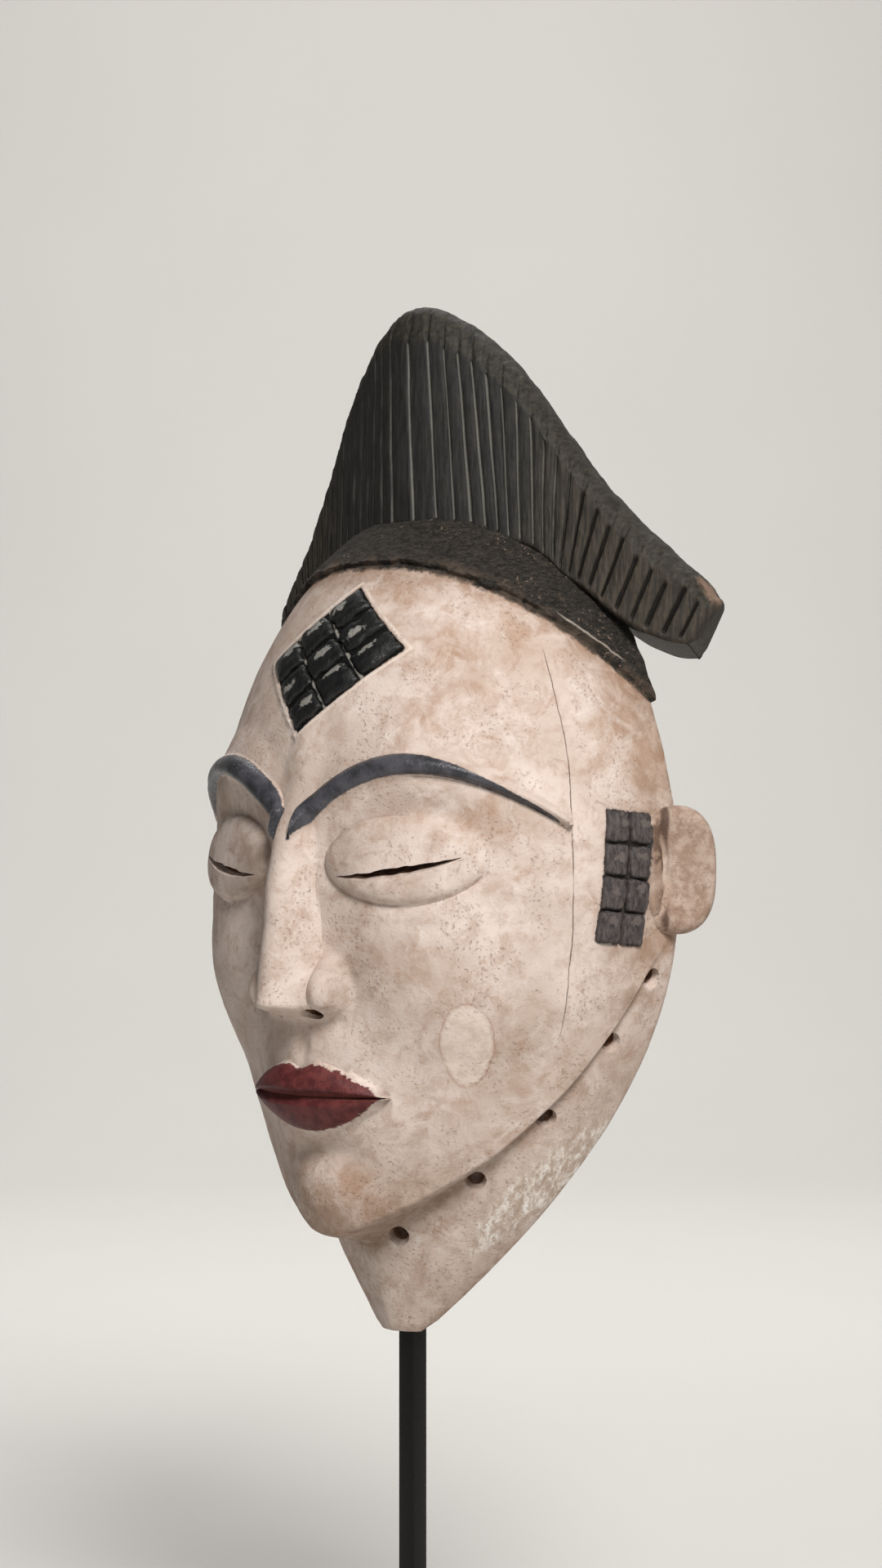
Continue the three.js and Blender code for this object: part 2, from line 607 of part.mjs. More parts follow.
function slitSolid(side) {
  const half = SLIT_LENGTH / 2;
  const shape = new THREE.Shape();
  shape.moveTo(-half, 0);
  shape.quadraticCurveTo(0, SLIT_HEIGHT * 0.6, half, 0);
  shape.quadraticCurveTo(0, -SLIT_HEIGHT * 1.4, -half, 0);
  const cut = new THREE.ExtrudeGeometry(shape, {
    depth: HEAD_DEPTH, bevelEnabled: false, curveSegments: 6,
  });
  const level = EYE_LEVEL - SLIT_DROP;
  const skin = headPoint(angleAt(EYE_SPREAD, level), level);
  const tilt = radians(SLIT_TILT);
  const start = -HEAD_DEPTH * 0.45;
  const rise = (start - skin.y) * Math.tan(tilt);
  const place = new THREE.Vector3(side * EYE_SPREAD, start, level + rise);
  return toSolid(cut, new THREE.Matrix4().makeRotationX(Math.PI / 2 + tilt).setPosition(place));
}

function drill(diameter, start, direction, length) {
  const bit = new THREE.CylinderGeometry(diameter / 2, diameter / 2, length, 8);
  const turn = new THREE.Quaternion();
  turn.setFromUnitVectors(new THREE.Vector3(0, 1, 0), direction.clone().normalize());
  const middle = start.clone().addScaledVector(direction.clone().normalize(), length / 2);
  return toSolid(bit, new THREE.Matrix4().compose(middle, turn, new THREE.Vector3(1, 1, 1)));
}

function nostrilSolid(side) {
  const start = new THREE.Vector3(side * NOSTRIL_SPREAD, -HEAD_DEPTH - NOSTRIL_START, NOSE_LEVEL - 9);
  return drill(NOSTRIL_DIAMETER, start, new THREE.Vector3(0, 1, 0.5), NOSTRIL_LENGTH);
}

function tieHoleSolid(angle) {
  const level = jawEdge(Math.abs(angle)) - TIE_HOLE_DROP;
  const { origin, out } = surfaceFrame(angle, level - TIE_HOLE_DIAMETER / 2);
  const inward = new THREE.Vector3(-out.x, -out.y, 0).setLength(Math.cos(radians(TIE_HOLE_TILT)));
  inward.z = Math.sin(radians(TIE_HOLE_TILT));
  const start = new THREE.Vector3(origin.x, origin.y, level).addScaledVector(inward, -WALL);
  return drill(TIE_HOLE_DIAMETER, start, inward, 4 * WALL);
}

// Where the rod passes behind the tip, open to the back and from below
function rodChannel() {
  const side = ROD_SIDE + 2 * CLEARANCE;
  const channel = new THREE.BoxGeometry(side, side + HEAD_DEPTH, WIDEST_LEVEL);
  const middle = new THREE.Vector3(0, rodDepth() + HEAD_DEPTH / 2, 0);
  return toSolid(channel, new THREE.Matrix4().setPosition(middle));
}

function rodDepth() {
  return -TIP_FORWARD + ROD_SIDE / 2 + 1;
}

function maskGeometry() {
  let solid = headSolid().add(crestSolid());
  for (const side of [-1, 1]) {
    solid = solid.add(earSolid(side));
    for (const pad of patchSolids(TEMPLE_PATCH, side)) solid = solid.add(pad);
  }
  for (const pad of patchSolids(FOREHEAD_PATCH)) solid = solid.add(pad);
  solid = solid.subtract(hollowSolid()).subtract(rodChannel());
  for (const side of [-1, 1]) {
    solid = solid.subtract(slitSolid(side)).subtract(nostrilSolid(side));
    for (const angle of TIE_HOLE_ANGLES) solid = solid.subtract(tieHoleSolid(side * angle));
  }
  return toGeometry(solid);
}

// Half the length that fits across the hollow at the crossbar, clear of its walls
function crossbarHalfLength() {
  const { side, front } = section(CROSSBAR_LEVEL, true);
  const forward = ROD_SIDE / 2 - rodDepth();
  return side * Math.sqrt(1 - (forward / front) ** 2) - 2 * CLEARANCE;
}

function rodGeometry() {
  const bottom = FOOT_THICKNESS + CLEARANCE;
  const top = TIP_HEIGHT + CROSSBAR_LEVEL;
  const upright = new THREE.BoxGeometry(ROD_SIDE, ROD_SIDE, top - bottom);
  upright.translate(0, 0, (top + bottom) / 2);
  const crossbar = new THREE.BoxGeometry(2 * crossbarHalfLength(), ROD_SIDE, ROD_SIDE);
  crossbar.translate(0, 0, top - ROD_SIDE / 2);
  return toGeometry(toSolid(upright).add(toSolid(crossbar)));
}

const paintedWood = new THREE.MeshStandardMaterial({ color: 0xc9ab8e, roughness: 0.72, metalness: 0 });
const blackSteel = new THREE.MeshStandardMaterial({ color: 0x101012, roughness: 0.3, metalness: 0.6 });

function part(name, geometry, material) {
  const mesh = new THREE.Mesh(geometry, material);
  mesh.name = name;
  return mesh;
}

const mask = part('mask', maskGeometry(), paintedWood);
mask.position.set(0, -rodDepth(), TIP_HEIGHT);
const rod = part('stand_rod', rodGeometry(), blackSteel);
const footBlock = new THREE.BoxGeometry(FOOT_WIDTH, FOOT_WIDTH, FOOT_THICKNESS);
const foot = part('stand_foot', footBlock, blackSteel.clone());
foot.position.z = FOOT_THICKNESS / 2;

const model = new THREE.Group();
model.add(mask, rod, foot);
export default model;
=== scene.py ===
# The looks of a carved wooden mask, painted with white clay, with a high grooved black crest,
# on a square steel rod with a flat foot. Shapes are computed in millimetres above the mask's tip
# and put in the row frame in metres: +Z up, the face looks along -Y.
import math
from functools import reduce

import bpy
import numpy as np
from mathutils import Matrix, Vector, kdtree


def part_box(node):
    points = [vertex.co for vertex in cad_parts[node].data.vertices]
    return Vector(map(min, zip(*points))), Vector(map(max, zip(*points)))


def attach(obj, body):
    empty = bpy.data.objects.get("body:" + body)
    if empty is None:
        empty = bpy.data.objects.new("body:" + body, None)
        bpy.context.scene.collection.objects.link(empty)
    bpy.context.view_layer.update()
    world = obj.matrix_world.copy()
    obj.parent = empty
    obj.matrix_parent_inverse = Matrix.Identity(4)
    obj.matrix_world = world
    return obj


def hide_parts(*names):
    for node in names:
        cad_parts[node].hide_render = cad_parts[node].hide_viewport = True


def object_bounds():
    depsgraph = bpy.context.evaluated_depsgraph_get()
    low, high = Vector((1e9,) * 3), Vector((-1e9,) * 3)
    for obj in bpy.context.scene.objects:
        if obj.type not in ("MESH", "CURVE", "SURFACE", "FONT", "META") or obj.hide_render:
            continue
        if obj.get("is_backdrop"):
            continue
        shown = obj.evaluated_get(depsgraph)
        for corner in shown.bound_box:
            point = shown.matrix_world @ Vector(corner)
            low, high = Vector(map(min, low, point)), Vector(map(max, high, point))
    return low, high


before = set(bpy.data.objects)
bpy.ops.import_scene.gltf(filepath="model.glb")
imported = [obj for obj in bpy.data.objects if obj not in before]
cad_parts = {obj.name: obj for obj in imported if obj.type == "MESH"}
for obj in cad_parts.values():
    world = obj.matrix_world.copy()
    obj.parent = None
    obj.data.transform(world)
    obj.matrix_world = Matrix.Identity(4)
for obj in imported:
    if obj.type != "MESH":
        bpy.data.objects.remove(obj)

cad_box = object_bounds()

MM = 0.001

# Stand
ROD_SIDE = 6
ROD_DEPTH = -27
ROD_ROUNDING = 0.55
TIP_HEIGHT = 120
FOOT_WIDTH = 120
FOOT_THICKNESS = 12
FOOT_ROUNDING = 1.2
CROSSBAR_LEVEL = 200
CLEARANCE = 0.3
MASK_PLACE = np.array([0, -ROD_DEPTH, TIP_HEIGHT])  # the mask's tip

# Head
HEAD_HALF_WIDTH = 79
HEAD_DEPTH = 77
WIDEST_LEVEL = 130
DOME_HEIGHT = 115
DOME_SIDE_POWER = 1.8
TAPER_LENGTH = 138.5
TAPER_POWER = 1.92
KEEL_RETREAT = 41
KEEL_POWER = 1.25
TIP_FORWARD = 31
BACK_CURVE_LEVEL = 110
BACK_CURVE_POWER = 1.76
KEEL_SHARPNESS = 0.5
WALL = 9
CROWN_WALL = 17
TIP_WALL = 12
TIP_BLOCK = 6.6
HEAD_SIZES = np.array([HEAD_HALF_WIDTH, HEAD_DEPTH, DOME_HEIGHT, TAPER_LENGTH])
HEAD_WALLS = np.array([WALL, WALL, CROWN_WALL, TIP_WALL])
SKIN_RADIUS = 72  # of the face, from the head's axis

# Jaw
JAW_PROUD = 15
JAW_PROUD_AT_SIDE = 0.3
JAW_FADE_LEVEL = 120
JAW_STEP = 3.5
JAW_BACK_LEVEL = 118
JAW_RISE = [[0, 0.229], [22, 0.28], [53, 0.424], [67, 0.572], [77, 0.763], [83, 0.907], [90, 1]]

# Face
CHIN_LEVEL = JAW_BACK_LEVEL * JAW_RISE[0][1]
HAIRLINE_LEVEL = 223.5
THIRD = (HAIRLINE_LEVEL - CHIN_LEVEL) / 3
NOSE_LEVEL = CHIN_LEVEL + THIRD
BROW_LEVEL = NOSE_LEVEL + THIRD
EYE_LEVEL = 138
MOUTH_LEVEL = 71
EYE_SPREAD = 33
EYE_HALF_LENGTH = 22
EYE_HALF_HEIGHT = 12.5
EYE_POINTING = 1.8
LID_RISE = 6.5
LID_ROUNDING = 0.55
SLIT_LENGTH = 34
SLIT_HEIGHT = 2.4
SLIT_DROP = 3
SLIT_TILT = 20
NOSE_RISE = 19
NOSE_HALF_WIDTH = 16
NOSE_ROOT_LEVEL = 151
NOSE_ROOT_RISE = 5
NOSE_RIDGE_HALF = 9.5
NOSE_ROOT_HALF = 7
NOSE_UNDERSIDE = 6
NOSTRIL_DIAMETER = 5.5
NOSTRIL_SPREAD = 7.5
MOUTH_HALF_WIDTH = 25
UPPER_LIP = 9.5
LOWER_LIP = 10.5
LIP_RISE = 5.5
LIP_EDGE = 0.45
LIP_BOW = 1.6
BROW_RISE = 3
BROW_START = 3
BROW_DROP = 10
BROW_ARCH = 17
BROW_REACH = 68
BROW_HALF_HEIGHT = 4.2
BROW_INNER = 1.15
BROW_OUTER = 0.35

# Soft mounds and hollows of the face: rise, middle, level, half width and half height
SOCKET = (-4.5, EYE_SPREAD, EYE_LEVEL + 2, 29, 20)
NOSE_WING = (10, NOSE_HALF_WIDTH - 5.5, NOSE_LEVEL + 8, 8, 13)
MUZZLE = (3, 0, MOUTH_LEVEL + 4, 34, 26)
LIP_GROOVE = (-1.3, 0, MOUTH_LEVEL + 15, 4, 8)
LIP_FOLD = (-2.5, 0, MOUTH_LEVEL - 16, 18, 7)
CHIN = (4.5, 0, CHIN_LEVEL + 14, 20, 16)
CHEEK = (4, 44, NOSE_LEVEL + 12, 30, 30)
BROW_BONE = (2.5, 34, 0, 44, 14)  # follows the brow
FOREHEAD_RIDGE = (1.4, 0, BROW_LEVEL + 4, 9, 22)

# Hair and crest
HAIR_THICKNESS = 2.5
HAIRLINE_DROP = 40
HAIRLINE_POWER = 2.6
CREST_THICKNESS = 25
CREST_TOP_THICKNESS = 22
CREST_REACH = 82.5
CREST_LEVEL = 300
CREST_ROOT_LEVEL = 230
CREST_UNDER_RISE = 4
CREST_MIDDLE_DEPTH = 20
CREST_SWEEP = 0.42
CREST_SWEEP_ROUNDING = 4
SPINE_FALL = [[0, 1], [0.134, 0.985], [0.315, 0.94], [0.63, 0.818], [0.8, 0.767], [1, 0.715]]
ROOT_FALL = [[0, 1], [0.364, 0.978], [0.606, 0.905], [0.719, 0.872], [0.89, 0.844], [1, 0.829]]
# How far a groove runs to +X per millimetre down, by its place as a share of the reach
GROOVE_LEAN = [
    [-1, 0.38], [-0.78, 0.29], [-0.58, 0.1], [-0.39, 0.03], [-0.19, 0.04], [0, 0.06], [0.19, 0.085],
    [0.35, 0.05], [0.46, 0], [0.58, -0.11], [0.68, -0.24], [0.78, -0.29], [1, -0.38],
]
CREST_BAND = 11
CREST_BAND_AT_END = 4
CREST_END_SLANT = -0.06
CREST_LOW_ROUNDING = 1.6
CREST_GROOVES = 20
GROOVE_PITCH = 4.05
GROOVE_WIDTH = 1.25
GROOVE_DEPTH = 1.15
CREST_FACE_ROWS = 44
GROOVE_COLUMNS = [0, 0.045, 0.09, 0.125, 0.155, 0.19, 0.235, 0.31, 0.4]  # from its middle, in pitches
CREST_CAP = [(0.7, 0.97), (1.4, 0.915), (2, 0.84), (2.5, 0.74), (2.8, 0.62), (2.9, 0.46), (2.93, 0.22)]
CREST_END = (84, 10, 216)

# Ears, raised squares, holes
EAR_HEIGHT = 37
EAR_WIDTH = 24
EAR_THICKNESS = 7
EAR_LEVEL = 135
EAR_AZIMUTH = 52
EAR_OUT = 79.6
EAR_BACK = 3.5
EAR_ROLL_IN = 7.2
EAR_ROLL_RISE = 2
EAR_ZONE_ANGLE = 66
EAR_ZONE_HEIGHT = 24
EAR_PROFILE = [
    (0, 0.72), (0.02, 0.84), (0.08, 0.91), (0.2, 0.965), (0.4, 0.99), (0.6, 0.99), (0.78, 0.97), (0.9, 0.93),
    (0.965, 0.87), (0.985, 0.8), (0.97, 0.72), (0.93, 0.62), (0.89, 0.48), (0.87, 0.3), (0.86, 0.12),
]
PAD_RISE = 1.7
FOREHEAD_PATCH = dict(
    x=-1, angle=0, level=195, columns=3, rows=3, width=36, height=31, turn=42,
    gap=(0.8, 1.5), corner=3.4, bulge=0.6, ragged=0.6,
)
TEMPLE_PATCH = dict(
    x=0, angle=74.5, level=133, columns=2, rows=4, width=16, height=38, turn=-6,
    gap=(0.7, 0.7), corner=0, bulge=0.2, ragged=0.32,
)
TIE_HOLE_DIAMETER = 5
TIE_HOLE_DROP = 3.8
TIE_HOLE_TILT = 30
TIE_HOLE_ANGLES = [22, 53, 67.5, 77, 83.5]
TIE_HOLE_WEAR = [(-9, 1.1), (-1.2, 0.8), (0.6, 0.45), (2.4, 0.05), (30, -0.1)]  # depth, added radius

# Paper and camera
PAPER_FRONT = 4000
PAPER_BACK = 1500
PAPER_BEND = 900
PAPER_TOP = 4500
PAPER_HALF_WIDTH = 5000
PAPER_DROP = 0.4
CAMERA_AZIMUTH = 42
CAMERA_TARGET = (-0.00726, 0.02046, 0.2794)
CAMERA_DISTANCE = 1.1
PICTURE_HEIGHT_MM = 24
LENS_MM = 56.33
LIT_MIDDLE = (0, 0, 0.28)

# Rows of the head: the front levels that they pass, and how many lie between two of these
FRONT_LEVELS = [
    0, CHIN_LEVEL, CHIN_LEVEL + JAW_STEP, MOUTH_LEVEL - LOWER_LIP, MOUTH_LEVEL, MOUTH_LEVEL + UPPER_LIP,
    NOSE_LEVEL - 1, NOSE_LEVEL + 5, EYE_LEVEL - EYE_HALF_HEIGHT, EYE_LEVEL - SLIT_DROP,
    EYE_LEVEL + EYE_HALF_HEIGHT, BROW_LEVEL + 2 - BROW_HALF_HEIGHT, BROW_LEVEL + 2,
    BROW_LEVEL + 2 + BROW_HALF_HEIGHT, HAIRLINE_LEVEL, WIDEST_LEVEL + DOME_HEIGHT,
]
MOUTH_ROWS = range(3, 8)
ROW_COUNTS = [32, 8, 32, 16, 16, 12, 10, 34, 15, 24, 6, 8, 8, 46, 8]
HEAD_COLUMNS = 128
HOLLOW_ROWS = 84
HOLLOW_COLUMNS = 80
BACK_SHARES = np.array([0.985, 0.96, 0.93, 0.89, 0.84, 0.5, 0, -0.5, -0.84, -0.89, -0.93, -0.96, -0.985])


# Smooth fields of pseudo-random values, one value at each point
AXIS_PRIMES = np.array([374761393, 668265263, 1442695041])
SEED_PRIME = 974711


def lattice(cell, seed):
    mixed = ((cell * AXIS_PRIMES).sum(-1) + seed * SEED_PRIME) & 0xFFFFFFFF
    for shift, prime in ((13, 1274126177), (16, 668265263)):
        mixed = ((mixed ^ (mixed >> shift)) * prime) & 0xFFFFFFFF
    return ((mixed ^ (mixed >> 15)) & 0xFFFF) / 32767.5 - 1


def noise(points, size, seed):
    scaled = np.asarray(points, float) / size
    cell = np.floor(scaled).astype(np.int64)
    t = scaled - cell
    t = t * t * t * (t * (t * 6 - 15) + 10)
    total = 0
    for corner in np.ndindex(2, 2, 2):
        weight = np.prod(np.where(corner, t, 1 - t), axis=-1)
        total = total + weight * lattice(cell + corner, seed)
    return total


def curve_through(points):
    xs, ys = np.array(points, float).T
    secants = np.diff(ys) / np.diff(xs)
    slopes = np.zeros(len(xs))
    for i in range(1, len(xs) - 1):
        if secants[i - 1] * secants[i] > 0:
            slopes[i] = 2 * secants[i - 1] * secants[i] / (secants[i - 1] + secants[i])
    slopes[-1] = secants[-1]

    def value(x):
        x = np.asarray(x, float)
        i = np.clip(np.searchsorted(xs, x, side="right") - 1, 0, len(xs) - 2)
        width = xs[i + 1] - xs[i]
        t = np.clip((x - xs[i]) / width, 0, 1)
        bow = t * t * (3 - 2 * t)
        enter = t * (1 - t) ** 2 * width * slopes[i]
        leave = t * t * (t - 1) * width * slopes[i + 1]
        beyond = np.maximum(0, x - xs[-1]) * slopes[-1]
        return ys[i] * (1 - bow) + ys[i + 1] * bow + enter + leave + beyond

    return value


jaw_share = curve_through(JAW_RISE)
groove_lean = curve_through(GROOVE_LEAN)
spine_share = curve_through(SPINE_FALL)
root_share = curve_through(ROOT_FALL)


def clamp01(value):
    return np.clip(value, 0, 1)


def mix(a, b, t):
    return a + (b - a) * t


def ramp_up(start, end, value):
    t = clamp01((value - start) / (end - start))
    return t * t * (3 - 2 * t)


def hill(across, up):
    return np.maximum(0, 1 - across**2 - up**2) ** 2


def mound(form, x, level):
    rise, middle, height, wide, high = form
    return rise * hill((x - middle) / wide, (level - height) / high)


def stack(*parts):
    return np.stack(np.broadcast_arrays(*parts), -1)


def unit(vectors):
    return vectors / np.linalg.norm(vectors, axis=-1, keepdims=True)


# The head's bowl
def back_edge(level):
    return -TIP_FORWARD * clamp01(1 - level / BACK_CURVE_LEVEL) ** BACK_CURVE_POWER


def section(level, hollow=False):
    half, depth, dome, taper = HEAD_SIZES - HEAD_WALLS if hollow else HEAD_SIZES
    up = clamp01((level - WIDEST_LEVEL) / dome)
    down = np.maximum(0, WIDEST_LEVEL - level)
    keel = KEEL_RETREAT * (down / WIDEST_LEVEL) ** KEEL_POWER
    side = half * np.where(
        level >= WIDEST_LEVEL,
        np.sqrt(1 - up**DOME_SIDE_POWER),
        1 - clamp01(down / taper) ** TAPER_POWER,
    )
    below = depth + back_edge(level) - keel
    front = np.where(level >= WIDEST_LEVEL, depth * np.sqrt(1 - up * up), below)
    return np.maximum(side, 0.01), np.maximum(front, 0.01), 2 - KEEL_SHARPNESS * down / WIDEST_LEVEL


def section_radius(turn, shape):
    side, front, power = shape
    across = np.abs(np.sin(np.radians(turn))) / side
    ahead = np.abs(np.cos(np.radians(turn))) / front
    return (across**power + ahead**power) ** (-1 / power)


def jaw_edge(turn):
    return JAW_BACK_LEVEL * jaw_share(turn)


def hairline(turn):
    return HAIRLINE_LEVEL - HAIRLINE_DROP * (turn / 90) ** HAIRLINE_POWER


# The face: calm, on equal thirds
def lid_half_height(x):
    out = np.abs((x - EYE_SPREAD) / EYE_HALF_LENGTH)
    return EYE_HALF_HEIGHT * np.sqrt(np.maximum(0, 1 - out**EYE_POINTING))


def lip_heights(x):
    reach = clamp01(x / MOUTH_HALF_WIDTH)
    bow = LIP_BOW * hill(x / 5, 0)
    return UPPER_LIP * (1 - reach**2.2) - bow, LOWER_LIP * (1 - reach * reach)


def brow_place(x):
    reach = clamp01((x - BROW_START) / (BROW_REACH - BROW_START))
    middle = BROW_LEVEL - BROW_DROP + BROW_ARCH * np.sin(np.pi * reach) ** 0.8
    return middle, BROW_HALF_HEIGHT * mix(BROW_INNER, BROW_OUTER, reach)


def eye_relief(x, level):
    out = np.abs((x - EYE_SPREAD) / EYE_HALF_LENGTH)
    dome = 1 - out**EYE_POINTING - ((level - EYE_LEVEL) / EYE_HALF_HEIGHT) ** 2
    return mound(SOCKET, x, level) + LID_RISE * np.maximum(0, dome) ** LID_ROUNDING


def nose_relief(x, level):
    along = clamp01((level - NOSE_LEVEL) / (NOSE_ROOT_LEVEL - NOSE_LEVEL))
    width = mix(NOSE_RIDGE_HALF, NOSE_ROOT_HALF, along)
    underside = ramp_up(NOSE_LEVEL - 1, NOSE_LEVEL - 1 + NOSE_UNDERSIDE, level)
    top = 1 - ramp_up(NOSE_ROOT_LEVEL - 8, NOSE_ROOT_LEVEL + 10, level)
    rise = mix(NOSE_RISE, NOSE_ROOT_RISE, along**0.9)
    ridge = rise * np.maximum(0, 1 - (x / width) ** 2) ** 0.9
    wing = mound(NOSE_WING, x, level)
    return underside * top * np.maximum(np.maximum(ridge, wing), 0.7 * (ridge + wing))


def mouth_relief(x, level):
    reach = clamp01(x / MOUTH_HALF_WIDTH)
    upper, lower = lip_heights(x)
    away = level - MOUTH_LEVEL
    part = np.where(away > 0, away / np.maximum(upper, 0.1), -away / np.maximum(lower, 0.1))
    swell = np.sqrt(np.maximum(0, 1 - part * part)) * mix(LIP_EDGE, 1, clamp01(part / 0.25))
    lips = LIP_RISE * swell * (1 - 0.5 * reach**4)
    folds = mound(LIP_GROOVE, x, level) + mound(LIP_FOLD, x, level)
    outside = (x >= MOUTH_HALF_WIDTH) | (part >= 1)
    return mound(MUZZLE, x, level) + np.where(outside, folds, lips)


def brow_relief(x, level):
    middle, half = brow_place(x)
    away = level - middle
    ridge = BROW_RISE * np.sqrt(np.maximum(0, 1 - (away / half) ** 2))
    return mound(BROW_BONE, x, away) + np.where((x < BROW_START) | (x > BROW_REACH), 0, ridge)


def face_relief(x, level):
    mounds = mound(CHIN, x, level) + mound(CHEEK, x, level) + mound(FOREHEAD_RIDGE, x, level)
    relief = eye_relief(x, level) + nose_relief(x, level) + mouth_relief(x, level)
    return relief + brow_relief(x, level) + mounds


# The point at an angle around the head's upright axis
def around(radius, angle, level, back=0):
    way = np.radians(angle)
    return stack(radius * np.sin(way), back - radius * np.cos(way), level)


def head_radius(angle, level, carved=False):
    turn = np.abs(angle)
    base = section_radius(turn, section(level))
    place = around(base, angle, level)
    way = np.radians(angle)
    edge = jaw_edge(turn)
    line = hairline(turn)
    if carved:
        edge = edge + 0.5 * noise(place, 17, 3)
        line = line + 0.9 * noise(place, 6, 4) + 0.5 * noise(place, 2.2, 5)
    share = mix(JAW_PROUD_AT_SIDE, 1, np.cos(way) ** 2)
    fade = clamp01((JAW_FADE_LEVEL - level) / (JAW_FADE_LEVEL - CHIN_LEVEL))
    face = ramp_up(edge - 0.5, edge + JAW_STEP, level)
    hair = ramp_up(line - 0.6, line + 0.6, level)
    proud = base + face * JAW_PROUD * share * fade
    relief = face * face_relief(proud * np.abs(np.sin(way)), level)
    radius = proud + relief * ramp_up(90, 80, turn) + HAIR_THICKNESS * hair
    if carved:
        tooled = 0.24 * noise(place, 15, 6) + 0.1 * noise(place, 5.5, 7) + 0.05 * noise(place, 1.7, 8)
        strokes = 0.5 * sum(noise(place * [1, 1, 2.4], 4.2 / 2**k, 9 + k) / 2**k for k in range(3))
        rough = strokes + 0.35 * noise(place, 11, 12) + 0.42 * noise(place * [1, 1, 2], 1.6, 13) - 0.3
        radius = radius + mix(tooled, rough, hair) - 0.15 + patch_lip(angle, level)
    return radius


def head_point(angle, level, carved=False):
    return around(head_radius(angle, level, carved), angle, level, back_edge(level))


def surface_frame(angle, level):
    step = 3
    across = unit(head_point(angle + step, level) - head_point(angle - step, level))
    up = unit(head_point(angle, level + step) - head_point(angle, level - step))
    out = unit(np.cross(across, up))
    return head_point(angle, level), np.cross(out, across), out


# Places on a patch of squares, in millimetres along its own sides
PATCH_LEAN = {
    id(patch): surface_frame(patch["angle"], patch["level"])[1][2]
    for patch in (FOREHEAD_PATCH, TEMPLE_PATCH)
}


def corner_stretch(patch, v):
    return 1 + patch["corner"] * 2 / patch["width"] * (0.5 - v / patch["height"])


def patch_surface(patch, side, u, v):
    turn = math.radians(patch["turn"])
    u = np.where(u > 0, u * corner_stretch(patch, v), u)
    along = u * math.cos(turn) - v * math.sin(turn)
    rise = u * math.sin(turn) + v * math.cos(turn)
    level = patch["level"] + rise * PATCH_LEAN[id(patch)]
    if patch["angle"]:
        return side * (patch["angle"] + np.degrees(along / HEAD_HALF_WIDTH)), level
    return np.degrees(np.arcsin((patch["x"] + along) / section(level)[0])), level


def patch_sides(patch, side, angle, level):
    turn = math.radians(patch["turn"])
    rise = (level - patch["level"]) / PATCH_LEAN[id(patch)]
    if patch["angle"]:
        along = np.radians(side * angle - patch["angle"]) * HEAD_HALF_WIDTH
    else:
        along = np.sin(np.radians(angle)) * section(level)[0] - patch["x"]
    u = along * math.cos(turn) + rise * math.sin(turn)
    v = rise * math.cos(turn) - along * math.sin(turn)
    return np.where(u > 0, u / corner_stretch(patch, v), u), v


def patch_distance(patch, side, angle, level):
    u, v = patch_sides(patch, side, angle, level)
    return np.maximum(np.abs(u) - patch["width"] / 2, np.abs(v) - patch["height"] / 2)


def patch_lip(angle, level):
    away = patch_distance(FOREHEAD_PATCH, 1, angle, level)
    lip = 0.75 * np.exp(-(((away - 0.8) / 0.8) ** 2))
    for side in (-1, 1):
        away = patch_distance(TEMPLE_PATCH, side, angle, level)
        lip = lip + 0.3 * np.exp(-(((away - 0.6) / 0.8) ** 2))
    return lip


# Rows of the head follow the jaw's edge, the lips, the lids, the brow and the hairline
def row_level(front, angle):
    turn = np.abs(angle)
    x = HEAD_HALF_WIDTH * np.sin(np.radians(turn))
    jaw = jaw_edge(turn)
    upper, lower = lip_heights(x)
    middle, half = brow_place(x)
    lid = np.maximum(2.5, lid_half_height(x))
    here = [
        0, jaw, jaw + JAW_STEP * mix(1, 0.2, turn / 90), MOUTH_LEVEL - np.maximum(2, lower), MOUTH_LEVEL,
        MOUTH_LEVEL + np.maximum(2, upper), NOSE_LEVEL - 1, NOSE_LEVEL + 5, EYE_LEVEL - lid,
        EYE_LEVEL - np.minimum(SLIT_DROP, lid * 0.5), EYE_LEVEL + lid,
        np.maximum(middle - half, EYE_LEVEL + lid + 1), middle + 0.2 * half, middle + half + 0.5,
        hairline(turn), FRONT_LEVELS[-1],
    ]
    settled = EYE_LEVEL - EYE_HALF_HEIGHT
    for i in MOUTH_ROWS:
        squeezed = mix(jaw, settled, (FRONT_LEVELS[i] - CHIN_LEVEL) / (settled - CHIN_LEVEL))
        here[i] = mix(here[i], squeezed, ramp_up(22, 50, turn))
    i = next(k for k in range(1, len(here)) if front <= FRONT_LEVELS[k])
    start, end = FRONT_LEVELS[i - 1:i + 1]
    return mix(here[i - 1], here[i], (front - start) / (end - start)) + 0 * turn


# Closed surfaces from rings of points
def loft(rings):
    rows, size = rings.shape[:2]
    near = np.arange(size)
    after = (near + 1) % size
    start = np.arange(rows - 1)[:, None] * size
    quads = np.stack([start + near, start + after, start + size + after, start + size + near], -1)
    faces = quads.reshape(-1, 4).tolist()
    points = rings.reshape(-1, 3)
    hubs = np.stack([rings[0].mean(0), rings[-1].mean(0)])
    last = (rows - 1) * size
    count = len(points)
    for a, b in zip(near.tolist(), after.tolist()):
        faces.append([count, b, a])
        faces.append([count + 1, last + a, last + b])
    return np.concatenate([points, hubs]), faces


def add_object(name, data):
    made = bpy.data.objects.new(name, data)
    bpy.context.scene.collection.objects.link(made)
    return made


def new_mesh(name, points, faces):
    mesh = bpy.data.meshes.new(name)
    mesh.from_pydata((np.asarray(points) * MM).tolist(), [], faces)
    mesh.validate()
    return add_object(name, mesh)


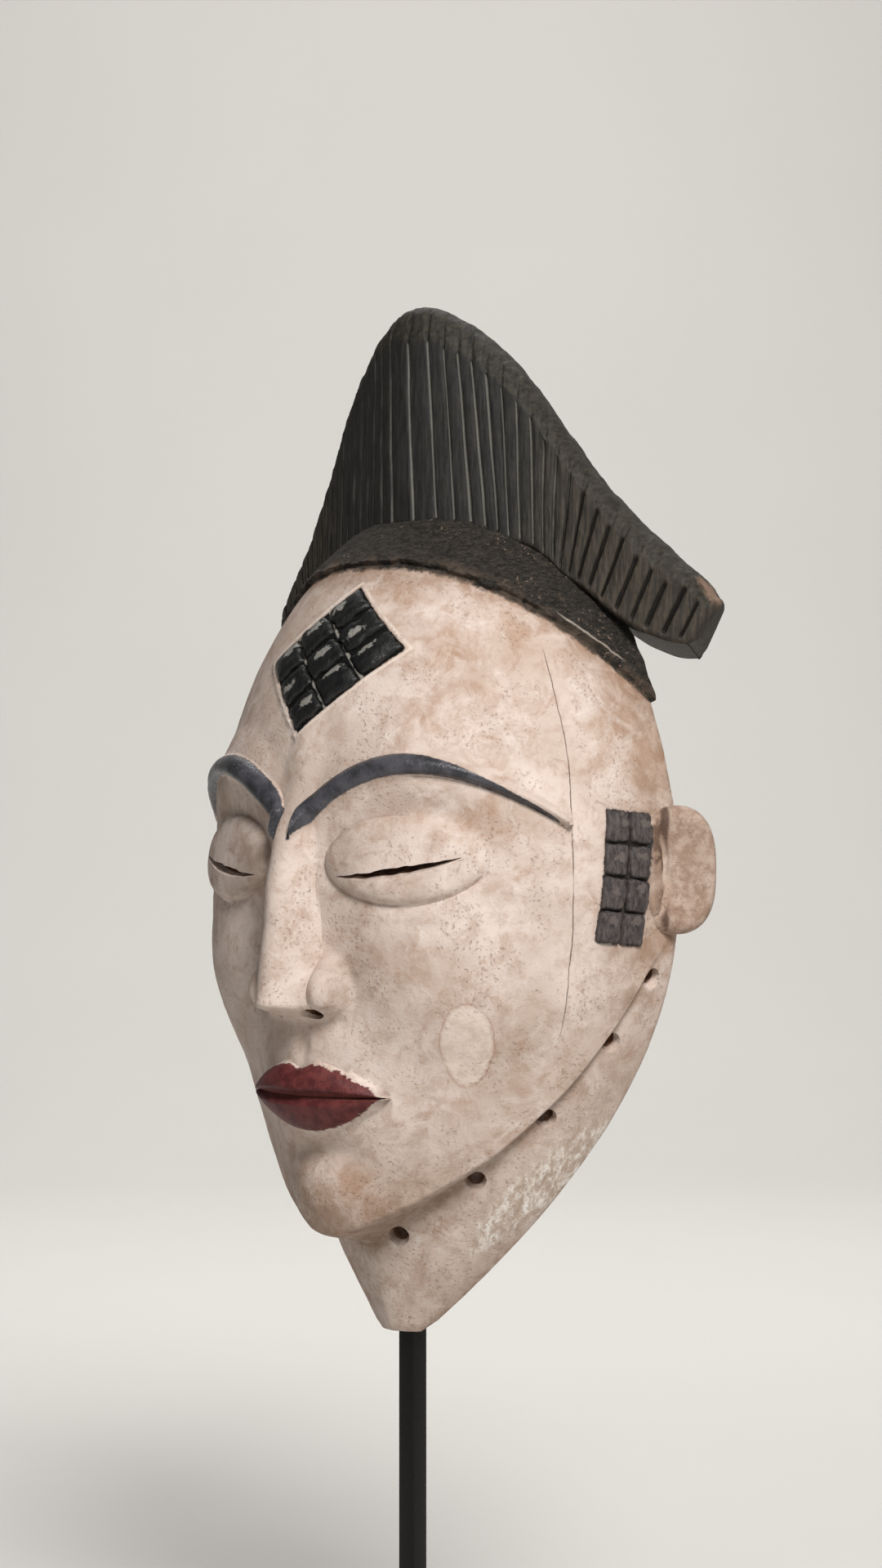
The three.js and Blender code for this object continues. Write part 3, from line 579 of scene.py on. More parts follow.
# A closed surface whose faces look outward
def closed_mesh(name, points, faces):
    made = new_mesh(name, points, faces)
    corners = np.array([vertex.co for vertex in made.data.vertices])
    rims = [face.vertices[:] for face in made.data.polygons]
    fans = [(rim[0], *pair) for rim in rims for pair in zip(rim[1:], rim[2:])]
    if np.linalg.det(corners[np.array(fans)]).sum() < 0:
        made.data.flip_normals()
    return made


def solid(name, rings):
    return closed_mesh(name, *loft(rings + MASK_PLACE))


# Joins or cuts with other solids, which are used up
def carve(target, operation, tools):
    for tool in tools:
        step = target.modifiers.new("step", "BOOLEAN")
        step.operation = operation
        step.solver = "MANIFOLD"
        step.object = tool
    bake_modifiers(target)
    for tool in tools:
        bpy.data.objects.remove(tool)


def bake_modifiers(target):
    graph = bpy.context.evaluated_depsgraph_get()
    made = bpy.data.meshes.new_from_object(target.evaluated_get(graph))
    target.modifiers.clear()
    old = target.data
    target.data = made
    bpy.data.meshes.remove(old)


# The head, closed across the back
def head_rings():
    ends = FRONT_LEVELS[:-2] + [HAIRLINE_LEVEL - 2, HAIRLINE_LEVEL + 2]
    levels = [0]
    for start, end, count in zip(ends, ends[1:], ROW_COUNTS):
        levels += [mix(start, end, i / count) for i in range(1, count + 1)]
    crown = WIDEST_LEVEL + DOME_HEIGHT * np.sin(np.radians(np.linspace(54.6, 86, 30)))
    levels += [level for level in crown if HAIRLINE_LEVEL + 2.3 < level < FRONT_LEVELS[-1] - 0.4]
    share = np.arange(-HEAD_COLUMNS, HEAD_COLUMNS + 1) / HEAD_COLUMNS
    angles = 90 * np.sign(share) * mix(np.abs(share), share * share, 0.25)
    rings = []
    for front in levels:
        level = row_level(front, angles)
        points = head_point(angles, level, carved=True)
        tip = 1.6 * (1 - np.sqrt(1 - clamp01(1 - level / 2.2) ** 2))
        points[:, 0] *= 1 - tip / 12
        points[:, 1] = mix(points[:, 1], back_edge(level) - 2.5, tip / 8)
        for end, inner in ((0, 1), (-1, -2)):
            points[end, 0] -= 0.7 * np.sign(points[end, 0])
            points[inner, 1] = back_edge(level[inner]) - 0.8
        edge = points[-1]
        rings.append(np.concatenate([points, stack(BACK_SHARES * edge[0], *edge[1:])]))
    return np.array(rings)


# The hollow, gouged in short scoops
def hollow_rings():
    top = WIDEST_LEVEL + DOME_HEIGHT - CROWN_WALL
    angles = np.linspace(-90, 90, HOLLOW_COLUMNS + 1)
    rings = []
    for row in range(HOLLOW_ROWS):
        level = mix(TIP_BLOCK, top, math.sin(math.pi / 2 * (row + 0.4) / HOLLOW_ROWS))
        radius = section_radius(np.abs(angles), section(level, hollow=True))
        place = around(radius, angles, 0.45 * level)
        scoops = 1.1 * np.abs(noise(place, 7.5, 21)) + 0.4 * noise(place, 19, 22)
        radius = radius + np.minimum(scoops, 1.4) - 0.6 + 0.9 * ramp_up(86, 90, np.abs(angles))
        ring = around(radius, angles, level, back_edge(level))
        outer = ring[-1][0] + 0.6
        ends = np.array([[outer, HEAD_DEPTH, level], [-outer, HEAD_DEPTH, level]])
        rings.append(np.concatenate([ring, ends]))
    return np.array(rings)


def box_rings(low, high):
    (x0, y0, z0), (x1, y1, z1) = low, high
    ring = [[x0, y0], [x1, y0], [x1, y1], [x0, y1]]
    return np.array([[[x, y, z] for x, y in ring] for z in (z0, z1)], float)


# A worn round hole's cutter: wide at the skin, then straight
def drill_rings(start, direction, radii, seed):
    direction = unit(np.asarray(direction, float))
    side = unit(np.cross(direction, [0.3, 0.2, 1]))
    up = np.cross(side, direction)
    turn = np.linspace(0, 2 * math.pi, 28, endpoint=False)
    rings = []
    for depth, radius in radii:
        here = start + direction * depth
        ring = here + radius * (np.cos(turn)[:, None] * side + np.sin(turn)[:, None] * up)
        ring += (0.18 * noise(ring, 2.6, seed))[:, None] * (ring - here) / radius
        rings.append(ring)
    return np.array(rings)


def tie_hole(angle):
    level = jaw_edge(abs(angle)) - TIE_HOLE_DROP
    half = TIE_HOLE_DIAMETER / 2
    out = surface_frame(angle, level - half)[2]
    tilt = math.radians(TIE_HOLE_TILT)
    inward = np.append(unit(-out[:2]) * math.cos(tilt), math.sin(tilt))
    radii = [(depth, half + wear) for depth, wear in TIE_HOLE_WEAR]
    return drill_rings(head_point(angle, level), inward, radii, 31 + round(angle))


def nostril(side):
    start = np.array([side * NOSTRIL_SPREAD, -HEAD_DEPTH - 22, NOSE_LEVEL - 9])
    half = NOSTRIL_DIAMETER / 2
    return drill_rings(start, (0, 1, 0.5), [(0, half), (20, half), (46, half - 0.5)], 33)


def slit_rings(side):
    x = np.linspace(-SLIT_LENGTH / 2, SLIT_LENGTH / 2, 56)
    share = 1 - (2 * x / SLIT_LENGTH) ** 2
    ragged = stack(x + side * 40, 0, 0)
    top = SLIT_HEIGHT * 0.3 * share + 0.28 * noise(ragged, 1.9, 41) * np.sqrt(share) + 0.03
    low = -SLIT_HEIGHT * 0.7 * share + 0.25 * noise(ragged, 2.4, 42) * np.sqrt(share) - 0.03
    level = EYE_LEVEL - SLIT_DROP
    skin = head_point(np.degrees(np.arcsin(EYE_SPREAD / section(level)[0])), level)
    ring = np.concatenate([stack(x, 0, top), stack(x, 0, low)[::-1]])
    ring = ring + [side * EYE_SPREAD, skin[1], level]
    rise = math.tan(math.radians(SLIT_TILT))
    return np.array([ring + [0, inward, inward * rise] for inward in (-14, 26)])


# A flat rounded ear, dished on its face, with a rolled front edge
def ear_axes(side):
    azimuth = math.radians(EAR_AZIMUTH)
    normal = np.array([side * math.sin(azimuth), -math.cos(azimuth), 0])
    up = np.array([0, 0, 1])
    return normal, up, np.cross(up, normal) * side


def ear_rings(side):
    normal, up, outward = ear_axes(side)
    middle = np.array([side * EAR_OUT, -EAR_BACK, EAR_LEVEL])
    turn = np.linspace(0, 2 * math.pi, 84, endpoint=False)
    across = np.sign(np.cos(turn)) * np.abs(np.cos(turn)) ** 0.8 * EAR_WIDTH / 2
    height = np.sign(np.sin(turn)) * np.abs(np.sin(turn)) ** 0.75 * EAR_HEIGHT / 2
    rings = []
    for deep, size in EAR_PROFILE:
        ring = middle + (across * size)[:, None] * outward + (height * size)[:, None] * up
        ring = ring + mix(-EAR_THICKNESS, EAR_THICKNESS / 2, deep) * normal
        wobble = 0.25 * noise(ring, 6, 51) + 0.1 * noise(ring, 2, 52)
        rings.append(ring + wobble[:, None] * (normal * 0.8 - outward * 0.4) - 0.2 * normal)
    return np.array(rings)


def roll_rings(side):
    normal, up, outward = ear_axes(side)
    middle = np.array([side * EAR_OUT, -EAR_BACK, EAR_LEVEL]) - outward * EAR_ROLL_IN
    middle = middle + normal * EAR_ROLL_RISE
    half = EAR_HEIGHT * 0.275 + EAR_THICKNESS / 2
    turn = np.linspace(0, 2 * math.pi, 32, endpoint=False)
    rings = []
    for share in np.sin(np.linspace(-0.48 * math.pi, 0.48 * math.pi, 40)):
        radius = EAR_THICKNESS / 2 * (1 - abs(share) ** 5) ** 0.5
        ring = middle + up * half * share
        ring = ring + radius * (np.cos(turn)[:, None] * outward + np.sin(turn)[:, None] * normal)
        fibres = 0.4 * noise(ring * [1, 1, 0.4], 1.9, 53) + 0.3 * noise(ring, 5, 54)
        ragged = 0.7 * noise(ring * [0, 0, 1], 3.4, 55) + 0.5 * noise(ring * [0, 0, 1], 8, 56)
        rings.append(ring + (fibres - 0.4)[:, None] * normal - (0.6 + ragged)[:, None] * outward)
    return np.array(rings)


# The crest: one closed loft of rings that fan out from the middle, each groove along its rings
def crest_ring(share):
    s = abs(share)
    side = -1 if share < 0 else 1
    top_x = CREST_REACH * s
    spine = CREST_LEVEL * float(spine_share(s))
    bottom_x = top_x + side * float(groove_lean(share)) * (spine - CREST_ROOT_LEVEL * float(root_share(s)))
    under = CREST_ROOT_LEVEL * float(root_share(abs(bottom_x) / CREST_REACH))
    spine = spine - 0.15
    band = mix(CREST_BAND, CREST_BAND_AT_END, s)
    half = CREST_THICKNESS / 2
    top_half = CREST_TOP_THICKNESS / 2
    slope = CREST_SWEEP * top_x / math.hypot(top_x, CREST_SWEEP_ROUNDING)
    along = unit(np.array([side, slope, 0]))
    across = np.array([-along[1] * side, abs(along[0]), 0])
    low = np.array([under, under + CREST_UNDER_RISE]) + CREST_LOW_ROUNDING
    high = spine - band
    rise = np.linspace(0, 1, CREST_FACE_ROWS)
    corner = np.linspace(0, math.pi / 2, 9)[:-1]
    shoulder = np.linspace(0, math.pi / 2, 15)[1:]
    low_edge = half - CREST_LOW_ROUNDING * (1 - np.sin(corner))
    u = np.concatenate([low_edge, mix(half, top_half, rise), top_half * np.cos(shoulder) ** 0.62])
    u = np.concatenate([u, -u[::-1][1:]])
    over = high + band * np.sin(shoulder) ** 1.15
    sink = CREST_LOW_ROUNDING * np.cos(corner)
    front, back = (np.concatenate([foot - sink, mix(foot, high, rise), over]) for foot in low)
    z = np.concatenate([front, back[::-1][1:]])
    low = np.where(u > 0, low[0], low[1])
    rise = clamp01((z - under) / (spine - under))
    x = mix(bottom_x, top_x, rise)
    wander = stack(share * CREST_REACH / GROOVE_PITCH, np.sign(u) * 31, z / 15)
    stray = 0.5 * noise(wander, 1.6, 61) + 0.45 * noise(wander * [1, 1, 0.2], 0.8, 62)
    x = x + side * ramp_up(1, 0.93, s) * stray
    arm = np.hypot(x, CREST_SWEEP_ROUNDING) - CREST_SWEEP_ROUNDING
    middle = stack(side * x, CREST_SWEEP * arm - CREST_MIDDLE_DEPTH, z)
    return middle, u, across, along, low, high


# How deep the ring is cut, and how far up the face and over the top each of its points lies
def groove_cut(share, u, z, low, high):
    phase = share * CREST_REACH / GROOVE_PITCH
    index = round(phase)
    off = abs(phase - index)
    key = stack(index * 7.3, np.sign(u) * 9.1, z / 22)
    ends = high - 0.3 + 1.6 * noise(key * [1, 1, 0], 1.37, 63)
    on_face = ramp_up(low - 0.8, low + 1.2, z) * (1 - ramp_up(ends - 1.2, ends + 0.6, z))
    over_top = ramp_up(high - 1, high + 2, z)
    half = GROOVE_WIDTH / 2 / GROOVE_PITCH * mix(0.45, 1, ramp_up(-0.03, 0.13, abs(share)))
    half = half * (1 + 0.3 * noise(key, 1.91, 64))
    inside = ramp_up(0.46, 0.4, abs(phase) - CREST_GROOVES)
    cut = inside * np.maximum(0, 1 - (off / half) ** 1.3)
    depth = on_face * GROOVE_DEPTH * (1 + 0.3 * noise(key, 1.1, 65)) * cut
    flat = 0.14 * (1 - ramp_up(0.16, 0.34, off)) * on_face * inside
    stroke = 0.5 * over_top * inside * np.maximum(0, 1 - (off / half / 1.4) ** 2)
    return depth + flat + stroke, on_face * cut, over_top


def crest_rings():
    columns = sorted({-c for c in GROOVE_COLUMNS} | set(GROOVE_COLUMNS) | {0.5})
    grooves = range(-CREST_GROOVES, CREST_GROOVES + 1)
    shares = [GROOVE_PITCH / CREST_REACH * (k + column) for k in grooves for column in columns]
    ends = np.linspace(shares[-1], 1, 3)[1:].tolist()
    rows = []
    for share in [-end for end in ends[::-1]] + shares + ends:
        middle, u, across, along, low, high = crest_ring(share)
        sunk, cut, over_top = groove_cut(share, u, middle[:, 2], low, high)
        flat = middle + u[:, None] * across
        fibres = 0.07 * noise(flat * [1, 1, 0.12], 0.8, 66)
        grain = fibres + 0.12 * noise(flat, 6, 67) + 0.05 * noise(flat, 1.5, 68)
        worn = 0.4 * np.maximum(0, noise(flat, 9, 69) - 0.2) * over_top
        hatch = 0.3 * np.abs(noise(flat * [1, 1, 0.25], 1.5, 70)) * over_top
        sunk = np.sign(u) * np.minimum(np.abs(u), sunk + worn + hatch + 0.2 - grain)
        lower = np.where(over_top > 0.5, 0.3 * np.abs(grain) + worn + hatch, 0)
        ring = flat - sunk[:, None] * across - stack(0, 0, lower)
        hub = ring.mean(0)
        shrink = 1 - 0.15 * clamp01((abs(share) - 0.93) / 0.07) ** 2
        rows.append((hub + (ring - hub) * shrink, cut, over_top))
    for side in (-1, 1):
        last = rows[0 if side < 0 else -1][0]
        _, u, across, along, *_ = crest_ring(float(side))
        hub = last.mean(0)
        cap = []
        for beyond, shrink in CREST_CAP:
            ring = hub + (last - hub) * shrink
            slant = CREST_END_SLANT * ((last - hub) @ across) * min(1, beyond / 2) * shrink
            ring += (beyond + slant + 0.1 * noise(ring, 2.5, 71))[:, None] * along
            cap.append((ring, 0 * u, 0 * u))
        rows = cap[::-1] + rows if side < 0 else rows + cap
    return [np.array(part) for part in zip(*rows)]


# One raised square, following the head's curve, with worn edges
def square_rings(patch, side, column, row, seed):
    cell = np.array([patch["width"] / patch["columns"], patch["height"] / patch["rows"]])
    half = (cell - np.array(patch["gap"])) / 2
    centre = np.array([column - (patch["columns"] - 1) / 2, row - (patch["rows"] - 1) / 2]) * cell
    t = np.linspace(-1, 1, 13, endpoint=False)
    u = np.concatenate([t, 0 * t + 1, -t, 0 * t - 1])
    v = np.concatenate([0 * t - 1, t, 0 * t + 1, -t])
    corner = 1 - 0.07 * (u * v) ** 8
    spot = 0.5 * noise(np.array([[column * 3.1, row * 4.7, seed], [row * 2.9, seed, column * 3.3]]), 1.3, 8)
    bulge = patch["bulge"]
    profile = [
        (-1.2, 1.03), (-0.3, 1.03), (0.2, 1), (0.6 - bulge, 0.98), (0.85 - bulge * 0.8, 0.95),
        (1 - bulge * 0.6, 0.9), (1 - bulge * 0.35, 0.8), (1 - bulge * 0.1, 0.62), (1, 0.4), (1, 0.18),
    ]
    rings, worn_away = [], []
    for lift, size in profile:
        a, b = u * size - 0.1 - spot[0], v * size - 0.35 - spot[1]
        worn_away.append(1 - np.hypot(a / 0.75, b / 0.42))
        way = np.stack([u, v])
        place = centre[:, None] + half[:, None] * way * size * corner
        key = stack(*place, seed * 13)
        ragged = patch["ragged"] * (noise(key, 2.6, seed) + 0.5 * noise(key, 1, seed + 1))
        place = place + ragged * way * ramp_up(0.5, 1, size)
        origin, _, out = surface_frame(*patch_surface(patch, side, *place))
        worn = bulge * 0.5 * noise(key, 3.4, seed + 2) + 0.07 * noise(key, 1, seed + 3)
        tilt = 0.12 * noise(np.array([column * 3.7, row * 5.3, seed]), 1.3, 7)
        height = PAD_RISE * lift + (worn + tilt - 0.15 if lift > 0.3 else 0)
        rings.append(origin + out * np.asarray(height)[..., None])
    return np.array(rings), np.array(worn_away)


def build_squares(name, patch, side, seed):
    points, faces, bare = [], [], []
    for column, row in np.ndindex(patch["columns"], patch["rows"]):
        rings, worn_away = square_rings(patch, side, column, row, seed + 5 * column + 17 * row)
        here, quads = loft(rings)
        faces += [[i + len(points) for i in face] for face in quads]
        points += (here + MASK_PLACE).tolist()
        bare += [*worn_away.reshape(-1), -1, worn_away[-1].mean()]
    made = closed_mesh(name, points, faces)
    write_attributes(made, worn_away=bare)
    return made


# Attributes that the materials read, worked out from where each point lies
def write_attributes(made, **fields):
    for name, values in fields.items():
        layer = made.data.attributes.new(name, "FLOAT", "POINT")
        layer.data.foreach_set("value", np.ascontiguousarray(values, np.float32))


def local_points(made):
    flat = np.zeros(len(made.data.vertices) * 3)
    made.data.vertices.foreach_get("co", flat)
    return flat.reshape(-1, 3) / MM - MASK_PLACE


# How far a point lies from a spot's middle, as a share of the spot's half size
def spot_distance(angle, level, at, size, lean=0):
    across = np.radians(angle - at[0]) * SKIN_RADIUS
    up = level - at[1]
    c, s = math.cos(math.radians(lean)), math.sin(math.radians(lean))
    return np.hypot((across * c + up * s) / size[0], (up * c - across * s) / size[1])


def soft_spots(angle, level, spots):
    return sum(weight * clamp01(1 - spot_distance(angle, level, *where)) for weight, *where in spots)


# Spots on the clay: strength, place as angle and level, half size, lean
STAINS = [
    (0.9, (38, 196), (26, 15)), (0.8, (76, 172), (20, 22)), (0.75, (40, 150), (22, 9), -8),
    (0.7, (30, 178), (26, 9), 20), (0.7, (18, 212), (26, 10)), (0.6, (52, 206), (22, 10), -30),
    (0.6, (-40, 190), (30, 24)), (0.7, (-30, 150), (22, 12)), (0.5, (28, 104), (22, 16)),
    (0.6, (52, 84), (26, 15)), (0.6, (12, 44), (30, 10)), (0.8, (60, 62), (24, 13), 35),
    (0.7, (40, 30), (26, 14), 30), (0.6, (86, 110), (14, 30)), (0.6, (-55, 96), (30, 30)),
]
# SHADES: painted shade beside the nose and at the inner corner of the eye
SHADES = [(0.9, (13.5, 136), (11, 24)), (0.7, (14.5, 103), (10, 16))]
SCRAPES = [(1, (84, 48), (34, 26), 40), (1, (70, 34), (20, 14), 40)]
OVAL_MARK = ((41.2, 86.3), (7.6, 11.6), 12)


def head_attributes(made):
    p = local_points(made)
    across, z = p[:, 0], p[:, 2]
    level = np.clip(z, 0, WIDEST_LEVEL + DOME_HEIGHT - 0.5)
    ahead = back_edge(level) - p[:, 1]
    angle = np.degrees(np.arctan2(across, ahead))
    turn = np.minimum(np.abs(angle), 90)
    signed = np.sign(angle) * turn
    x = np.abs(across)
    middle, half = brow_place(x)
    brow = np.minimum(half - np.abs(z - middle), np.minimum(x - BROW_START + 1, BROW_REACH - x))
    upper, lower = lip_heights(x)
    away = z - MOUTH_LEVEL
    lips = np.where(away > 0, upper - away, lower + away)
    outside = np.hypot(across, ahead) - head_radius(signed, level)
    near_ear = (turn > EAR_ZONE_ANGLE) & (np.abs(z - EAR_LEVEL) < EAR_ZONE_HEIGHT)
    ear = ramp_up(0.8, 1.6, outside) * near_ear
    outward = np.stack([ear_axes(side)[2] for side in (-1, 1)])[(across > 0).astype(int)]
    ear_middle = stack(np.sign(across) * EAR_OUT, -EAR_BACK, EAR_LEVEL)
    inside = np.maximum(-outside - 2.5, 0.25 - ahead)
    from_jaw = z - jaw_edge(turn)
    collar = ramp_up(1, -6, from_jaw)
    # Darker towards the chin and towards the sides, and painted shade on the far side of the face, which is
    # turned from the light
    tan = ramp_up(70, 26, z) * mix(0.75, 0.2, collar)
    tan = tan + 0.55 * ramp_up(62, 84, turn) * mix(1, 0.4, collar) + 0.25 * ramp_up(-20, -60, signed)
    # Painted shade beside the nose, at the inner corner of the eye and along the mouth's line
    grime = soft_spots(turn, level, SHADES) + 0.8 * ramp_up(3.2, 0.2, np.abs(away)) * (x < MOUTH_HALF_WIDTH)
    temple_away = [patch_distance(TEMPLE_PATCH, side, signed, level) for side in (-1, 1)]
    write_attributes(
        made,
        angle=signed,
        level=z,
        hair=z - hairline(turn),
        brow=np.where(turn < 89, brow, -5),
        lips=np.where(x < MOUTH_HALF_WIDTH + 2, lips, -5),
        parting=away,
        ear=ear,
        ear_across=((p - ear_middle) * outward).sum(-1),
        inside=np.where(ear > 0.3, -3, inside),
        forehead_patch=-patch_distance(FOREHEAD_PATCH, 1, signed, level),
        temple_patch=-np.minimum(*temple_away),
        patch_u=patch_sides(FOREHEAD_PATCH, 1, signed, level)[0],
        stain=soft_spots(signed, level, STAINS),
        tan=np.clip(tan, 0, 0.9),
        # painted shade under the jaw's step
        grime=grime + 0.7 * ramp_up(4.5, 0.2, np.abs(from_jaw + 0.6)) * ramp_up(95, 60, turn),
        scrape=soft_spots(signed, level, SCRAPES),
        oval=spot_distance(signed, level, *OVAL_MARK),
    )


# The crest's cuts are looked up from the rings it was made of
def crest_attributes(made, rings, cuts, tops):
    p = local_points(made)
    known = rings.reshape(-1, 3)
    tree = kdtree.KDTree(len(known))
    for i, point in enumerate(known.tolist()):
        tree.insert(point, i)
    tree.balance()
    nearest = np.array([tree.find(point)[1] for point in p.tolist()])
    end, other = (np.linalg.norm(p - np.array(CREST_END) * [side, 1, 1], axis=1) for side in (1, -1))
    write_attributes(
        made,
        cut=cuts.reshape(-1)[nearest],
        top=tops.reshape(-1)[nearest],
        bare=np.minimum(end, other + 2),
        span=np.abs(p[:, 0]) / CREST_REACH,
    )


# Smooth shading with the sharp folds kept
def finish_surface(made, material, degrees):
    made.data.materials.clear()
    made.data.materials.append(material)
    made.data.shade_smooth()
    made.data.set_sharp_from_angle(angle=math.radians(degrees))


# Materials: a colour of 0 to 255 as linear light, and the nodes
def linear(colour):
    shares = [c / 255 for c in colour]
    return [c / 12.92 if c <= 0.04045 else ((c + 0.055) / 1.055) ** 2.4 for c in shares] + [1]


class Shader:
    """Builds one material's nodes. A value is a number, a colour of 0 to 255 or a node's output."""

    def __init__(self, name, specular=0.5):
        self.material = bpy.data.materials.new(name)
        self.material.use_nodes = True
        self.nodes = self.material.node_tree.nodes
        self.surface = self.nodes["Principled BSDF"].inputs
        self.surface["Specular IOR Level"].default_value = specular
        self.place = self.nodes.new("ShaderNodeTexCoord").outputs["Object"]

    def put(self, socket, value):
        if isinstance(value, bpy.types.NodeSocket):
            self.material.node_tree.links.new(value, socket)
        else:
            socket.default_value = linear(value) if isinstance(value, tuple) else value

    def add(self, kind, output, inputs, **settings):
        node = self.nodes.new("ShaderNode" + kind)
        for name, setting in settings.items():
            setattr(node, name, setting)
        for name, value in inputs.items():
            self.put(node.inputs[name], value)
        return node.outputs[output]

    def read(self, name):
        return self.add("Attribute", "Fac", {}, attribute_name=name)

    def math(self, operation, *values):
        return self.add("Math", 0, dict(enumerate(values)), operation=operation)

    def times(self, *values):
        return reduce(lambda a, b: self.math("MULTIPLY", a, b), values)

    def plus(self, *values):
        return reduce(lambda a, b: self.math("ADD", a, b), values)

    def lowest(self, a, b):
        return self.math("MINIMUM", a, b)

    def size(self, a):
        return self.math("ABSOLUTE", a)

    def step(self, value, start, end, low=0, high=1):
        span = {"Value": value, "From Min": start, "From Max": end, "To Min": low, "To Max": high}
        return self.add("MapRange", "Result", span, interpolation_type="SMOOTHSTEP")

    def noise(self, millimetres, detail=3, rough=0.55, bend=0, shift=0, stretch=(1, 1, 1)):
        shifts = [shift, shift * 0.7, shift * 1.3]
        place = self.add("Mapping", 0, {"Vector": self.place, "Scale": [*stretch], "Location": shifts})
        inputs = {"Vector": place, "Scale": 1 / (millimetres * MM), "Detail": detail}
        return self.add("TexNoise", "Fac", {**inputs, "Roughness": rough, "Distortion": bend})

    # A noise around nought
    def stray(self, amount, noise):
        return self.times(self.plus(noise, -0.5), amount)

    def blend(self, factor, a, b):
        return self.add("Mix", 2, {"Factor": factor, 6: a, 7: b}, data_type="RGBA")

    def tones(self, value, start, end, a, b):
        return self.blend(self.step(value, start, end), a, b)

    def layers(self, base, *coats):
        return reduce(lambda under, coat: self.blend(coat[0], under, coat[1]), coats, base)

    def finish(self, colour, rough, height=None, depth=0.3, strength=0.8):
        self.put(self.surface["Base Color"], colour)
        self.put(self.surface["Roughness"], rough)
        if height is not None:
            relief = {"Strength": strength, "Distance": depth * MM, "Height": height}
            self.put(self.surface["Normal"], self.add("Bump", "Normal", relief))
        return self.material


